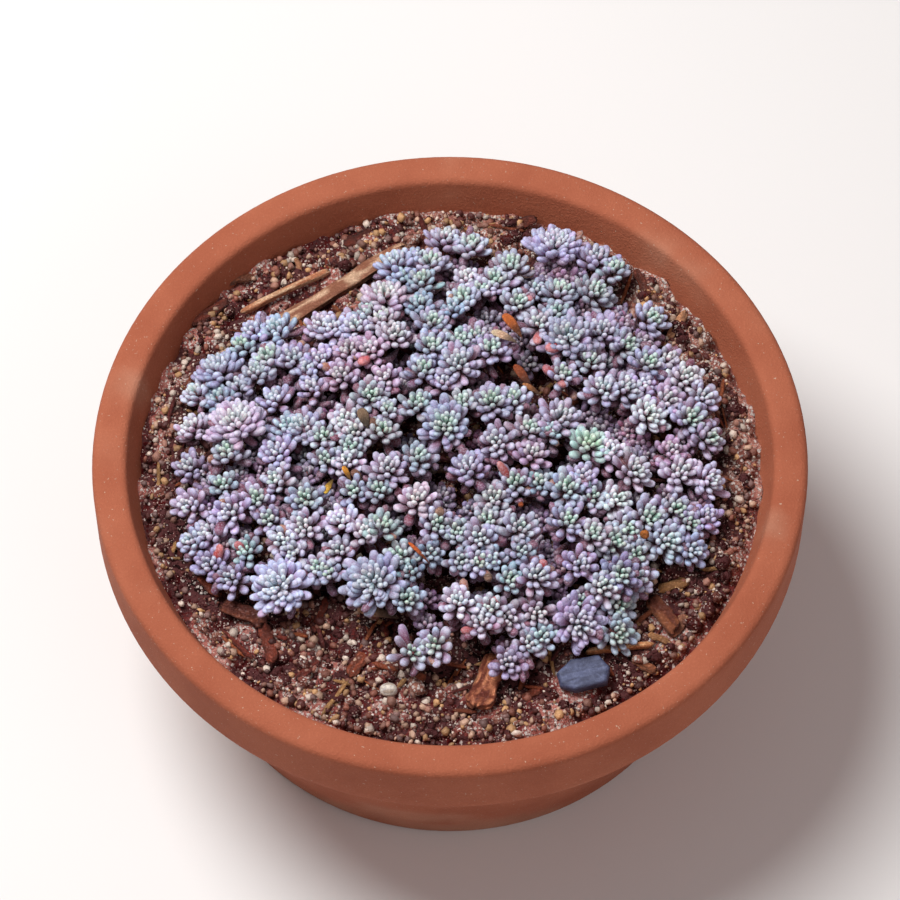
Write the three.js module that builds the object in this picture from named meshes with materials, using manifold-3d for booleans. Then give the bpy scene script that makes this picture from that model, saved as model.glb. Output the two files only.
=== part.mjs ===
// A clump of spanish stonecrop in a shallow round clay pan.
// Millimetres, +Z up. The origin is the middle of the pan's underside, and the front faces -Y.
import * as THREE from "three";
import { mergeVertices } from "three/addons/utils/BufferGeometryUtils.js";
import Module from "manifold-3d";

const wasm = await Module();
wasm.setup();

// Pan
const PAN_HEIGHT = 64;
const PAN_BASE_RADIUS = 54;
const PAN_WAIST_RADIUS = 66.5;
const RIM_RADIUS = 72;
const RIM_DEPTH = 15;
const RIM_THICKNESS = 6.5;
const WALL_THICKNESS = 5;
const FLOOR_THICKNESS = 7;
const DRAIN_RADIUS = 6;
const EDGE_ROUND = 1.6;
const PAN_SIDES = 36;

// Soil
const SOIL_TOP = 57;
const FIT_GAP = 0.4;
const SOIL_RINGS = [56, 42, 28, 14];
const SOIL_RELIEF = 0.7;
const SWELL = { share: 0.6, alongX: 0.21, startX: 0.8, alongY: 0.18, startY: -0.5 };
const RIPPLE = { share: 0.4, alongX: 0.47, alongY: -0.33, start: 1.9 };
const HOLE_DEPTH = 9;
const HOLE_CLEARANCE = 0.35;

// Mat of plants. Its heads are placed as they look from the front, seen at VIEW_ELEVATION,
// with the point (0, 0) on the pan's axis at VIEW_HEIGHT.
const VIEW_ELEVATION = THREE.MathUtils.degToRad(60);
const VIEW_HEIGHT = 69;
const MOUND_RADIUS = 56;
const MOUND_EDGE = 5.2;
const MOUND_RISE = 10;
const MOUND_ROUGHNESS = 1.4;
const HEAD_REACH_MAX = 56.5;
const LEAN_EDGE = THREE.MathUtils.degToRad(34);
const LEAN_RANDOM = 0.22;

// Stems
const POST_RADIUS = 0.9;
const KNOT_RADIUS = 1.15;
const POST_SIDES = 4;
const BRANCH_RADIUS = 0.66;
const BRANCH_SIDES = 3;
const BRANCH_WAIST = 0.42;
const FORK_LOW = 3;
const FORK_SHARE = 0.34;

// Leaves
const LEAF_COUNTS = [
  { below: 2.6, leaves: 4 },
  { below: 3.1, leaves: 5 },
  { below: 3.7, leaves: 6 },
  { below: Infinity, leaves: 7 },
];
const SPREAD_TILT = THREE.MathUtils.degToRad(72);
const UPRIGHT_TILT = THREE.MathUtils.degToRad(44);
const TILT_RANDOM = 0.14;
const TILT_MIN = THREE.MathUtils.degToRad(32);
const TURN_RANDOM = 0.2;
const SPREAD_REACH = 2.6;
const SPREAD_GROWTH = 0.9;
const UPRIGHT_REACH = 1.9;
const UPRIGHT_GROWTH = 0.76;
const LEAF_WIDTH = 0.92;
const LEAF_WIDTH_POWER = 0.68;
const LEAF_MAX_WIDTH = 2.9;
const LEAF_PLUMPNESS = 0.62;
const LEAF_MIN_THICKNESS = 0.7;
const LEAF_MIN_LENGTH = 1.4;
const BELLY_PLACE = 0.7;
const BELLY_CROWDING = 0.88;
const RIDGE_SHARE = 0.6;
const HUB_RADIUS = 0.5;
const HUB_GROWTH = 0.08;
const BUD_HEIGHT = 1.5;
const LEAF_GAP = 0.4;
const KIN_GAP = 0.05;
const BEND_STEP = THREE.MathUtils.degToRad(8);
const BEND_STEPS = 3;
const SHORTEN = 0.9;
const SHORTEN_STEPS = 8;
const SEARCH_RANGE = 16;

// Litter on the soil: where each piece looks to lie, how long, wide and thick it is, and its turn.
const CHIPS = [
  { name: "bark_strip", seen: [-24, 30.5], size: [34, 3.2, 1], turn: 36, color: 0x7a4a30 },
  { name: "bark_chip_left", seen: [-41, -35], size: [9, 3.4, 1.3], turn: -25, color: 0x6b2f1d },
  { name: "bark_chip_right", seen: [42.5, -35], size: [8.5, 2.8, 1.2], turn: -58, color: 0x8a4426 },
  { name: "wood_chip", seen: [7.5, -48.5], size: [12, 4.2, 1.4], turn: 70, color: 0xc08a58 },
  { name: "slate_chip", seen: [26, -47], size: [10.5, 7, 2.2], turn: 20, color: 0x69707f },
];
const STRAWS = [
  { name: "straw_long", from: [-43, 25.6], to: [-25, 34.7], radius: 0.75, color: 0xc9a163 },
  { name: "straw_short", from: [27, -42.4], to: [40, -41], radius: 0.65, color: 0xc4965a },
];
const PEBBLE = { name: "pebble", seen: [-12, -50], size: [3.6, 2.9, 2.2], color: 0xd8cdb8 };
const CHIP_ROUGHNESS = 0.85;
const STRAW_ROUGHNESS = 0.7;
const PEBBLE_ROUGHNESS = 0.6;
const CHIP_CORNERS = 8;
const CHIP_RAGGED = 0.28;
const STRAW_SIDES = 5;
const STRAW_STEPS = 3;
const STRAW_SAG = 1.2;
const SEAT_SAMPLES = 12;

// Colour and roughness of the main pieces
const PAN_FINISH = { color: 0xb5653f, roughness: 0.85 };
const SOIL_FINISH = { color: 0x3a2a22, roughness: 0.95 };
const LEAF_FINISH = { color: 0xa9b3c6, roughness: 0.7 };

// Each tuft is a list of heads: how far right and up from the middle each one looks, and its radius.
const TUFTS = [
  [[-11.2, 37.4, 4], [-9.7, 34, 2.5], [-6.5, 38.4, 2], [-3.8, 37.3, 3.5]],
  [[-0.8, 42.4, 3.5], [4.4, 41, 3.6]],
  [[3.6, 33.6, 2.5], [9.4, 33.3, 3.5], [6.4, 31.4, 2.3], [12.6, 36.5, 3.5]],
  [[21.9, 41.2, 5.5], [31, 38.9, 4], [34.2, 36.2, 3], [30.3, 30.8, 3.8]],
  [[14.2, 28.4, 3], [18.1, 31, 2], [22.8, 31.2, 3.6]],
  [[-13.3, 30.3, 4.5], [-16.8, 26.8, 2.3], [-13.8, 25.2, 2.8]],
  [[-6, 33.4, 3], [-6.2, 28.4, 2.8], [2.6, 29.6, 3.2], [0.3, 27.3, 2]],
  [[-11.1, 21.8, 3.2], [-3.4, 24.3, 3.3], [-3.6, 19.4, 3.5]],
  [[2, 20.5, 2.6], [5.2, 21.6, 2.6], [8.4, 19, 3.3], [1.7, 15.8, 4.2]],
  [[18.1, 24, 3.3], [21.7, 26.4, 2.4], [24, 21.4, 5]],
  [[31, 22.6, 4.2], [36.3, 19.6, 3.5], [41.6, 25.3, 3.5]],
  [[-47.5, 15.3, 4.5], [-43.1, 11.4, 2.6], [-47.4, 8.9, 3], [-52, 10, 3]],
  [[-42.6, 20, 2.8], [-40.5, 22.8, 3.5], [-36, 23, 4], [-37.4, 17.2, 3.8], [-39.4, 14.1, 3.2]],
  [[-31.8, 17, 3.5], [-29.1, 14.8, 2.1], [-26.3, 16.8, 2.8]],
  [[-26.5, 24, 3], [-24.2, 23.5, 3.2], [-19.4, 23.5, 3.5]],
  [[-20.5, 18.5, 3], [-16.5, 18.6, 3.4], [-22.2, 13.4, 3]],
  [[-13.3, 12.7, 3], [-15.8, 9.1, 3.3], [-12.4, 6.6, 2.2], [-13.3, 2.3, 2.8]],
  [[-5.4, 14.7, 3.4], [-6.5, 7.8, 3], [-1.3, 12, 1.8]],
  [[8.3, 8.3, 4], [12.6, 8.8, 3], [2.4, 8, 2.6]],
  [[28.4, 16.4, 2.8], [30.8, 10.9, 3.5], [23, 13.7, 2.9]],
  [[36, 10.9, 3.6], [39.4, 11.5, 2.6], [40.3, 5.6, 4], [44.1, 8.4, 3.6]],
  [[40.5, 16, 3.5], [44.5, 16.8, 3], [48.1, 13, 3.5]],
  [[48.8, 4.6, 4], [51.5, 9, 3], [52.8, 0.5, 3]],
  [[-43.1, 4.4, 5.5], [-44.9, -2, 3], [-52.5, 3, 3.2], [-53, -5, 3]],
  [[-35.6, 8.7, 2.8], [-32.9, 3.2, 3.2], [-29.8, 3.2, 3.8], [-28.1, 10.9, 2.5]],
  [[-35.1, -2, 3.6], [-35.1, -7.7, 2.6], [-38.6, -11.5, 3.3], [-36.3, -15.7, 2.6]],
  [[-25.4, 1, 2.8], [-24.9, -3.6, 2.4], [-20.2, -1.1, 2.6], [-20.8, -4, 2.4],
    [-21.1, 4.4, 2.8], [-19.3, 1.9, 3]],
  [[-1, 3.3, 4.6], [9.2, -0.2, 3.2], [3.5, -5, 3.6]],
  [[22.4, 5, 3.8], [20.3, 2.3, 1.8], [16, 2.8, 3], [16.5, -2.2, 3]],
  [[28, -0.4, 4], [32.1, -1.5, 3], [23.2, -9.2, 3.6], [26.7, -6.8, 2.6]],
  [[44.5, -1.8, 3], [46.3, -6.1, 4], [37.2, -5.8, 3.5], [52.5, -8, 3.2]],
  [[-45.6, -8.8, 2.6], [-44, -14.1, 3.5], [-52.5, -13, 3.2]],
  [[-28.8, -11.5, 3.4], [-29, -17.1, 3.3], [-33.3, -19.8, 2.6], [-31.3, -22.1, 2]],
  [[-19.3, -10, 2.4], [-21.7, -15.5, 2.8], [-13.3, -16.4, 3], [-16.7, -17.8, 2.8]],
  [[-6.3, -2.9, 2.8], [-12.2, -5.2, 3.7], [-14.2, -9.5, 2.2], [-6.5, -11.4, 3.3]],
  [[8.6, -11.3, 3.2], [7.3, -15.5, 2.8], [12.9, -8.1, 3], [17.8, -8.1, 2.2]],
  [[28.4, -11, 2.8], [33.4, -11.8, 3.2], [32.8, -20.2, 3.8], [35.6, -17.8, 3]],
  [[40, -15.4, 3.9], [45.4, -13.8, 3.6], [43.4, -20.3, 3.8], [48.6, -22, 3],
    [48.2, -16.6, 3], [51.5, -15, 3]],
  [[-48.7, -18.2, 3.3], [-52, -20, 2.8], [-48.1, -24.6, 3.2], [-43.7, -27.3, 3], [-40.8, -21.6, 2.4]],
  [[-34, -28.5, 5.5], [-26.3, -24.8, 2.4], [-24.2, -25.9, 2.3], [-22, -21.6, 2.8]],
  [[-10.2, -22.5, 2.8], [-8, -25.7, 2], [-15.4, -27.6, 5.5], [-8.3, -31.1, 2.6]],
  [[-2.4, -16.4, 3.2], [1.2, -18, 2.2], [-3.8, -22.1, 2.3]],
  [[5.8, -23.9, 2.6], [8.4, -23.4, 2], [2.1, -23.6, 2.2], [5.8, -19.3, 3.2]],
  [[1.4, -31.4, 3.2], [7.8, -32.6, 2.2], [5.8, -35.6, 2.6]],
  [[11.9, -27.2, 2.4], [17.2, -26.4, 3.4], [13.8, -17.1, 3.6], [14.2, -21.6, 2.3]],
  [[23.5, -15.7, 3.2], [28.5, -18.4, 3], [25.8, -24.4, 3.2]],
  [[30.3, -28.6, 3.2], [33.7, -26.4, 3.6], [37.1, -27.3, 3], [36.9, -22.7, 3]],
  [[33.7, -32.5, 3.6], [33.5, -38.2, 3.6], [26, -31.8, 2.2], [25.8, -36.2, 5]],
  [[11.3, -35.2, 3], [17.2, -34.1, 3], [15.5, -39.7, 2.5], [18.1, -38.6, 2.8], [11.2, -43.5, 3]],
  [[-3.2, -40, 2.3], [-7.2, -41.6, 2.3]],
];

// A small repeatable random source: each call gives the next number from 0 to 1.
const RANDOM_SPREAD = 2654435761;
const RANDOM_FACTOR = 1664525;
const RANDOM_STEP = 1013904223;
const RANDOM_RANGE = 2 ** 32;

function seededRandom(seed) {
  let state = Math.imul(seed + 1, RANDOM_SPREAD) >>> 0;
  return () => {
    state = (Math.imul(state, RANDOM_FACTOR) + RANDOM_STEP) >>> 0;
    return state / RANDOM_RANGE;
  };
}

// Solids: from a three.js geometry to a manifold and back.
const MERGE_DISTANCE = 1e-4;

function toSolid(geometry) {
  const bare = geometry.clone();
  bare.deleteAttribute("normal");
  bare.deleteAttribute("uv");
  const merged = mergeVertices(bare, MERGE_DISTANCE);
  return new wasm.Manifold(new wasm.Mesh({
    numProp: 3,
    vertProperties: new Float32Array(merged.attributes.position.array),
    triVerts: new Uint32Array(merged.index.array),
  }));
}

function toGeometry(solid) {
  const mesh = solid.getMesh();
  const geometry = new THREE.BufferGeometry();
  geometry.setAttribute("position", new THREE.BufferAttribute(new Float32Array(mesh.vertProperties), 3));
  geometry.setIndex(new THREE.BufferAttribute(new Uint32Array(mesh.triVerts), 1));
  geometry.computeVertexNormals();
  return geometry;
}

function joinAll(solids) {
  return solids.reduce((whole, solid) => whole.add(solid));
}

// Pan: one turned wall with a collar round its rim and a drain hole in its floor.
function innerRadiusAt(height) {
  const baseInner = PAN_BASE_RADIUS - WALL_THICKNESS;
  const rimInner = RIM_RADIUS - RIM_THICKNESS;
  const share = (height - FLOOR_THICKNESS) / (PAN_HEIGHT - FLOOR_THICKNESS);
  return baseInner + (rimInner - baseInner) * share;
}

function panGeometry() {
  const collar = PAN_HEIGHT - RIM_DEPTH;
  const lipInner = innerRadiusAt(PAN_HEIGHT - EDGE_ROUND);
  const outline = [
    [DRAIN_RADIUS, 0],
    [PAN_BASE_RADIUS - EDGE_ROUND, 0],
    [PAN_BASE_RADIUS, EDGE_ROUND],
    [PAN_WAIST_RADIUS, collar],
    [RIM_RADIUS - EDGE_ROUND, collar],
    [RIM_RADIUS, collar + EDGE_ROUND],
    [RIM_RADIUS, PAN_HEIGHT - EDGE_ROUND],
    [RIM_RADIUS - EDGE_ROUND, PAN_HEIGHT],
    [lipInner + EDGE_ROUND, PAN_HEIGHT],
    [lipInner, PAN_HEIGHT - EDGE_ROUND],
    [innerRadiusAt(FLOOR_THICKNESS), FLOOR_THICKNESS],
    [DRAIN_RADIUS, FLOOR_THICKNESS],
    [DRAIN_RADIUS, 0],
  ];
  const points = outline.map(([radius, height]) => new THREE.Vector2(radius, height));
  return new THREE.LatheGeometry(points, PAN_SIDES).rotateX(Math.PI / 2);
}

// Soil: a plug that fills the pan, low and uneven on top, with a plain hole for each tuft's stem.
function relief(x, y) {
  const broad = Math.sin(SWELL.alongX * x + SWELL.startX) * Math.cos(SWELL.alongY * y + SWELL.startY);
  const fine = Math.sin(RIPPLE.alongX * x + RIPPLE.alongY * y + RIPPLE.start);
  return SOIL_RELIEF * (SWELL.share * broad + RIPPLE.share * fine);
}

function soilGeometry() {
  const bottom = FLOOR_THICKNESS + FIT_GAP;
  const bottomRadius = innerRadiusAt(bottom) - FIT_GAP;
  const topRadius = innerRadiusAt(SOIL_TOP) - FIT_GAP;
  const points = [
    new THREE.Vector2(0, bottom),
    new THREE.Vector2(bottomRadius, bottom),
    new THREE.Vector2(topRadius, SOIL_TOP - SOIL_RELIEF),
    ...SOIL_RINGS.map((radius) => new THREE.Vector2(radius, SOIL_TOP)),
    new THREE.Vector2(0, SOIL_TOP),
  ];
  const soil = new THREE.LatheGeometry(points, PAN_SIDES).rotateX(Math.PI / 2);
  const position = soil.attributes.position;
  for (let i = 0; i < position.count; i += 1) {
    if (position.getZ(i) > SOIL_TOP - SOIL_RELIEF / 2) {
      position.setZ(i, SOIL_TOP + relief(position.getX(i), position.getY(i)));
    }
  }
  return soil;
}

function holeGeometry(x, y) {
  const radius = (POST_RADIUS + HOLE_CLEARANCE) / Math.cos(Math.PI / POST_SIDES);
  const height = HOLE_DEPTH * 2;
  return new THREE.CylinderGeometry(radius, radius, height, POST_SIDES)
    .rotateX(Math.PI / 2)
    .translate(x, y, SOIL_TOP - HOLE_DEPTH + height / 2);
}

// Heads: where each one stands on the mound, which way it faces, and how large its hub is.
function headFrom([right, above, radius], index) {
  const random = seededRandom(index);
  const reach = Math.hypot(right, above / Math.sin(VIEW_ELEVATION));
  const rise = MOUND_RISE * Math.max(0, 1 - (reach / MOUND_RADIUS) ** 2);
  const z = SOIL_TOP + MOUND_EDGE + rise + MOUND_ROUGHNESS * (2 * random() - 1);
  const place = new THREE.Vector3(
    right,
    (above - (z - VIEW_HEIGHT) * Math.cos(VIEW_ELEVATION)) / Math.sin(VIEW_ELEVATION),
    z,
  );
  const plan = Math.hypot(place.x, place.y);
  const allowed = Math.min(plan, HEAD_REACH_MAX);
  place.x *= allowed / plan;
  place.y *= allowed / plan;
  const lean = LEAN_EDGE * (allowed / MOUND_RADIUS) ** 2;
  const axis = new THREE.Vector3(
    (place.x / allowed) * Math.sin(lean) + LEAN_RANDOM * (2 * random() - 1),
    (place.y / allowed) * Math.sin(lean) + LEAN_RANDOM * (2 * random() - 1),
    Math.cos(lean),
  ).normalize();
  const across = new THREE.Vector3(0, 1, 0).cross(axis).normalize();
  const along = axis.clone().cross(across);
  const hub = HUB_RADIUS + HUB_GROWTH * radius;
  return { index, place, axis, across, along, radius, hub, turn: random() * Math.PI * 2, random, leaves: [] };
}

function headsMiddle(heads) {
  const sum = new THREE.Vector3();
  for (const head of heads) sum.add(head.place);
  return sum.divideScalar(heads.length);
}

// Stems: a post stands in its hole in the soil, and a branch curves from each head to the post's knot.
function plantTuft(name, heads) {
  const middle = headsMiddle(heads);
  const rise = Math.max(FORK_LOW, (middle.z - SOIL_TOP) * FORK_SHARE);
  const fork = new THREE.Vector3(middle.x, middle.y, SOIL_TOP + rise);
  for (const head of heads) {
    const reach = fork.distanceTo(head.place);
    const bend = head.place.clone().addScaledVector(head.axis, -reach / 2);
    bend.z = Math.max(bend.z, fork.z);
    head.branch = new THREE.QuadraticBezierCurve3(head.place, bend, fork);
  }
  return { name, heads, fork };
}

function postGeometry(fork) {
  const foot = SOIL_TOP - HOLE_DEPTH + FIT_GAP;
  const crown = fork.z + KNOT_RADIUS;
  return new THREE.CylinderGeometry(KNOT_RADIUS, POST_RADIUS, crown - foot, POST_SIDES)
    .rotateX(Math.PI / 2)
    .translate(fork.x, fork.y, (crown + foot) / 2);
}

// Leaves: which way each points, and how wide and thick it is for its length.
function leafCount(radius) {
  return LEAF_COUNTS.find(({ below }) => radius < below).leaves;
}

function leafDirection(head, turn, tilt) {
  return head.axis.clone().multiplyScalar(Math.cos(tilt))
    .addScaledVector(head.across, Math.sin(tilt) * Math.cos(turn))
    .addScaledVector(head.along, Math.sin(tilt) * Math.sin(turn));
}

function leafWidth(length) {
  return Math.min(LEAF_MAX_WIDTH, LEAF_WIDTH * length ** LEAF_WIDTH_POWER);
}

function leafThickness(width) {
  return Math.max(LEAF_MIN_THICKNESS, width * LEAF_PLUMPNESS);
}

// Distance between two straight segments.
const PARALLEL_LIMIT = 1e-9;

function segmentDistance(a, b, c, d) {
  const ab = b.clone().sub(a);
  const cd = d.clone().sub(c);
  const ac = a.clone().sub(c);
  const abab = ab.dot(ab);
  const cdcd = cd.dot(cd);
  const abcd = ab.dot(cd);
  const abac = ab.dot(ac);
  const cdac = cd.dot(ac);
  const spread = abab * cdcd - abcd * abcd;
  let s = spread > PARALLEL_LIMIT ? THREE.MathUtils.clamp((abcd * cdac - abac * cdcd) / spread, 0, 1) : 0;
  const t = THREE.MathUtils.clamp((abcd * s + cdac) / cdcd, 0, 1);
  s = THREE.MathUtils.clamp((abcd * t - abac) / abab, 0, 1);
  return a.clone().addScaledVector(ab, s).distanceTo(c.clone().addScaledVector(cd, t));
}

// What leaves have to keep clear of: the posts, the branches and the hubs of all heads.
function firstObstacles(tufts) {
  const obstacles = [];
  for (const tuft of tufts) {
    const { fork } = tuft;
    const crown = fork.clone().add(new THREE.Vector3(0, 0, KNOT_RADIUS));
    obstacles.push({ tuft, from: fork, to: crown, thick: KNOT_RADIUS });
    for (const head of tuft.heads) {
      const [start, middle, end] = head.branch.getPoints(2);
      const under = head.place.clone().addScaledVector(head.axis, -head.hub);
      const bud = head.place.clone().addScaledVector(head.axis, head.hub * BUD_HEIGHT);
      obstacles.push(
        { tuft, head, from: start, to: middle, thick: BRANCH_RADIUS },
        { tuft, head, from: middle, to: end, thick: BRANCH_RADIUS },
        { tuft, head, from: under, to: bud, thick: head.hub },
      );
    }
  }
  return obstacles;
}

function isFree(leaf, obstacles) {
  const { from, to, thick } = leaf;
  if (to.z - thick < SOIL_TOP + SOIL_RELIEF + FIT_GAP) return false;
  const inner = innerRadiusAt(to.z) - FIT_GAP - thick;
  if (to.z - thick < PAN_HEIGHT + FIT_GAP && Math.hypot(to.x, to.y) > inner) return false;
  return obstacles.every((other) => {
    const gap = other.tuft === leaf.tuft ? KIN_GAP : LEAF_GAP;
    return segmentDistance(from, to, other.from, other.to) > thick + other.thick + gap;
  });
}

// The leaves of a head stand in one ring, in turn upright and spread. One that would meet another
// head is first bent up, step by step, and then shortened. For that test a leaf is a round rod,
// whose radius lies halfway between half the leaf's width and half its thickness.
function growLeaves(tuft, head, obstacles) {
  const count = leafCount(head.radius);
  const near = obstacles.filter((other) => other.head !== head
    && other.from.distanceTo(head.place) < SEARCH_RANGE);
  for (let k = 0; k < count; k += 1) {
    const upright = k % 2 === 0;
    const turn = head.turn + (k / count) * Math.PI * 2 + TURN_RANDOM * (head.random() - 0.5);
    let tilt = (upright ? UPRIGHT_TILT : SPREAD_TILT) + TILT_RANDOM * (2 * head.random() - 1);
    let length = upright
      ? UPRIGHT_REACH + UPRIGHT_GROWTH * head.radius
      : SPREAD_REACH + SPREAD_GROWTH * head.radius;
    let leaf = null;
    for (let step = 0; step <= BEND_STEPS + SHORTEN_STEPS; step += 1) {
      const width = leafWidth(length);
      const thick = (width / 2 + leafThickness(width) / 2) / 2;
      const to = head.place.clone().addScaledVector(leafDirection(head, turn, tilt), length - thick);
      leaf = { tuft, head, from: head.place, to, thick };
      if (isFree(leaf, near)) break;
      if (step < BEND_STEPS) tilt = Math.max(TILT_MIN, tilt - BEND_STEP);
      else length = Math.max(LEAF_MIN_LENGTH, length * SHORTEN);
    }
    head.leaves.push({ turn, tilt, length });
    obstacles.push(leaf);
  }
}

// The corners of a section across the branch, at this share of the way down from its head.
function branchRing(head, share, radius, turns) {
  const centre = head.branch.getPoint(share);
  const upward = head.branch.getTangent(share).negate();
  const turned = new THREE.Quaternion().setFromUnitVectors(head.axis, upward);
  return turns.map((turn) => leafDirection(head, turn, Math.PI / 2)
    .applyQuaternion(turned)
    .multiplyScalar(radius)
    .add(centre));
}

// One head with its branch: the ring of notches between the leaves is also the top of the branch,
// so the leaves, the closed bud and the branch are one surface. Each leaf is a ridge, two edges and
// a tip. Below the waist the branch has three sides, and its cut end lies inside the post's knot.
function headGeometry(head) {
  const count = head.leaves.length;
  const positions = [];
  const triangles = [];
  const addVertex = (point) => positions.push(point.x, point.y, point.z) / 3 - 1;
  const turns = head.leaves.map((leaf) => leaf.turn);
  const nextTurns = [...turns.slice(1), turns[0] + Math.PI * 2];
  const between = turns.map((turn, k) => (turn + nextTurns[k]) / 2);
  const corners = Array.from({ length: BRANCH_SIDES }, (_, i) => Math.floor((i * count) / BRANCH_SIDES));
  const cornerTurns = corners.map((k) => between[k]);
  const top = addVertex(head.place.clone().addScaledVector(head.axis, head.hub * BUD_HEIGHT));
  const notches = branchRing(head, 0, head.hub, between).map(addVertex);
  const waist = branchRing(head, BRANCH_WAIST, BRANCH_RADIUS, cornerTurns).map(addVertex);
  const end = branchRing(head, 1, BRANCH_RADIUS, cornerTurns).map(addVertex);
  const bellies = head.leaves.map(({ turn, tilt, length }) => head.place.clone()
    .addScaledVector(leafDirection(head, turn, tilt), length * BELLY_PLACE));
  head.leaves.forEach(({ turn, tilt, length }, k) => {
    const previous = (k + count - 1) % count;
    const belly = bellies[k];
    const out = leafDirection(head, turn, tilt);
    const side = leafDirection(head, turn + Math.PI / 2, Math.PI / 2);
    const face = out.clone().cross(side);
    const room = BELLY_CROWDING * Math.min(
      belly.distanceTo(bellies[(k + 1) % count]),
      belly.distanceTo(bellies[previous]),
    );
    const width = Math.min(leafWidth(length), room);
    const thickness = Math.min(leafThickness(width), room);
    const keel = belly.clone().addScaledVector(face, -thickness * (1 - RIDGE_SHARE));
    const ridge = addVertex(belly.clone().addScaledVector(face, thickness * RIDGE_SHARE));
    const left = addVertex(keel.clone().addScaledVector(side, width / 2));
    const right = addVertex(keel.clone().addScaledVector(side, -width / 2));
    const tip = addVertex(head.place.clone().addScaledVector(out, length));
    const after = notches[k];
    const before = notches[previous];
    triangles.push(
      top, ridge, after, ridge, left, after,
      top, before, ridge, before, right, ridge,
      before, after, left, before, left, right,
      ridge, tip, left, right, tip, ridge, left, tip, right,
    );
    const corner = (corners.findLastIndex((first) => first < k) + BRANCH_SIDES) % BRANCH_SIDES;
    const next = (corner + 1) % BRANCH_SIDES;
    triangles.push(after, before, waist[corner]);
    if (corners[next] === k) {
      triangles.push(
        after, waist[corner], waist[next],
        waist[next], waist[corner], end[corner],
        waist[next], end[corner], end[next],
      );
    }
  });
  const [endFirst, endSecond, endThird] = end;
  triangles.push(endFirst, endThird, endSecond);
  const geometry = new THREE.BufferGeometry();
  geometry.setAttribute("position", new THREE.Float32BufferAttribute(positions, 3));
  geometry.setIndex(triangles);
  return geometry;
}

function tuftGeometry(tuft) {
  const heads = tuft.heads.map((head) => toSolid(headGeometry(head)));
  return toGeometry(joinAll([toSolid(postGeometry(tuft.fork)), ...heads]));
}

// The mat: large heads grow their leaves first, and smaller ones fit in between.
function growMat() {
  let index = 0;
  const tufts = TUFTS.map((entries, number) => plantTuft(
    `tuft_${String(number + 1).padStart(2, "0")}`,
    entries.map((entry) => headFrom(entry, index++)),
  ));
  const obstacles = firstObstacles(tufts);
  const order = tufts.flatMap((tuft) => tuft.heads.map((head) => ({ tuft, head })));
  order.sort((a, b) => b.head.radius - a.head.radius || a.head.index - b.head.index);
  for (const { tuft, head } of order) growLeaves(tuft, head, obstacles);
  return tufts;
}

// Litter: each piece lies just clear of the highest soil under it.
const soilSurface = new THREE.Mesh(soilGeometry());

function soilHeight(x, y) {
  const ray = new THREE.Raycaster(new THREE.Vector3(x, y, PAN_HEIGHT), new THREE.Vector3(0, 0, -1));
  return ray.intersectObject(soilSurface)[0].point.z;
}

function onSoil([right, above]) {
  const fall = (SOIL_TOP - VIEW_HEIGHT) * Math.cos(VIEW_ELEVATION);
  return new THREE.Vector2(right, (above - fall) / Math.sin(VIEW_ELEVATION));
}

function seatHeight(from, to, halfWidth) {
  const sideways = to.clone().sub(from).rotateAround(new THREE.Vector2(), Math.PI / 2).setLength(halfWidth);
  let highest = 0;
  for (let i = 0; i <= SEAT_SAMPLES; i += 1) {
    for (const share of [-1, 0, 1]) {
      const point = from.clone().lerp(to, i / SEAT_SAMPLES).addScaledVector(sideways, share);
      highest = Math.max(highest, soilHeight(point.x, point.y));
    }
  }
  return highest + FIT_GAP;
}

function chipGeometry({ seen, size: [length, width, thickness], turn }, random) {
  const corners = [];
  for (let i = 0; i < CHIP_CORNERS; i += 1) {
    const round = (i / CHIP_CORNERS) * Math.PI * 2;
    const ragged = 1 - CHIP_RAGGED * random();
    corners.push(new THREE.Vector2(
      (length / 2) * Math.cos(round) * ragged,
      (width / 2) * Math.sin(round) * (2 - ragged),
    ));
  }
  const angle = THREE.MathUtils.degToRad(turn);
  const middle = onSoil(seen);
  const half = new THREE.Vector2(length / 2, 0).rotateAround(new THREE.Vector2(), angle);
  const from = middle.clone().sub(half);
  const to = middle.clone().add(half);
  return new THREE.ExtrudeGeometry(new THREE.Shape(corners), { depth: thickness, bevelEnabled: false })
    .rotateZ(angle)
    .translate(middle.x, middle.y, seatHeight(from, to, width / 2));
}

function strawGeometry({ from, to, radius }) {
  const start = onSoil(from);
  const end = onSoil(to);
  const z = seatHeight(start, end, radius) + radius;
  const middle = start.clone().lerp(end, 0.5);
  const path = new THREE.QuadraticBezierCurve3(
    new THREE.Vector3(start.x, start.y, z),
    new THREE.Vector3(middle.x, middle.y + STRAW_SAG, z),
    new THREE.Vector3(end.x, end.y, z),
  );
  const section = new THREE.Shape();
  for (let i = 0; i < STRAW_SIDES; i += 1) {
    const round = (i / STRAW_SIDES) * Math.PI * 2;
    const corner = [Math.cos(round) * radius, Math.sin(round) * radius];
    if (i === 0) section.moveTo(...corner);
    else section.lineTo(...corner);
  }
  return new THREE.ExtrudeGeometry(section, { steps: STRAW_STEPS, extrudePath: path, bevelEnabled: false });
}

function pebbleGeometry({ seen, size: [length, width, height] }) {
  const middle = onSoil(seen);
  const half = new THREE.Vector2(length / 2, 0);
  const seat = seatHeight(middle.clone().sub(half), middle.clone().add(half), width / 2);
  return new THREE.DodecahedronGeometry(1)
    .scale(length / 2, width / 2, height / 2)
    .translate(middle.x, middle.y, seat + height / 2);
}

function makeMesh(name, geometry, { color, roughness }) {
  const material = new THREE.MeshStandardMaterial({ color, roughness, metalness: 0 });
  const mesh = new THREE.Mesh(geometry, material);
  mesh.name = name;
  return mesh;
}

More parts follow.
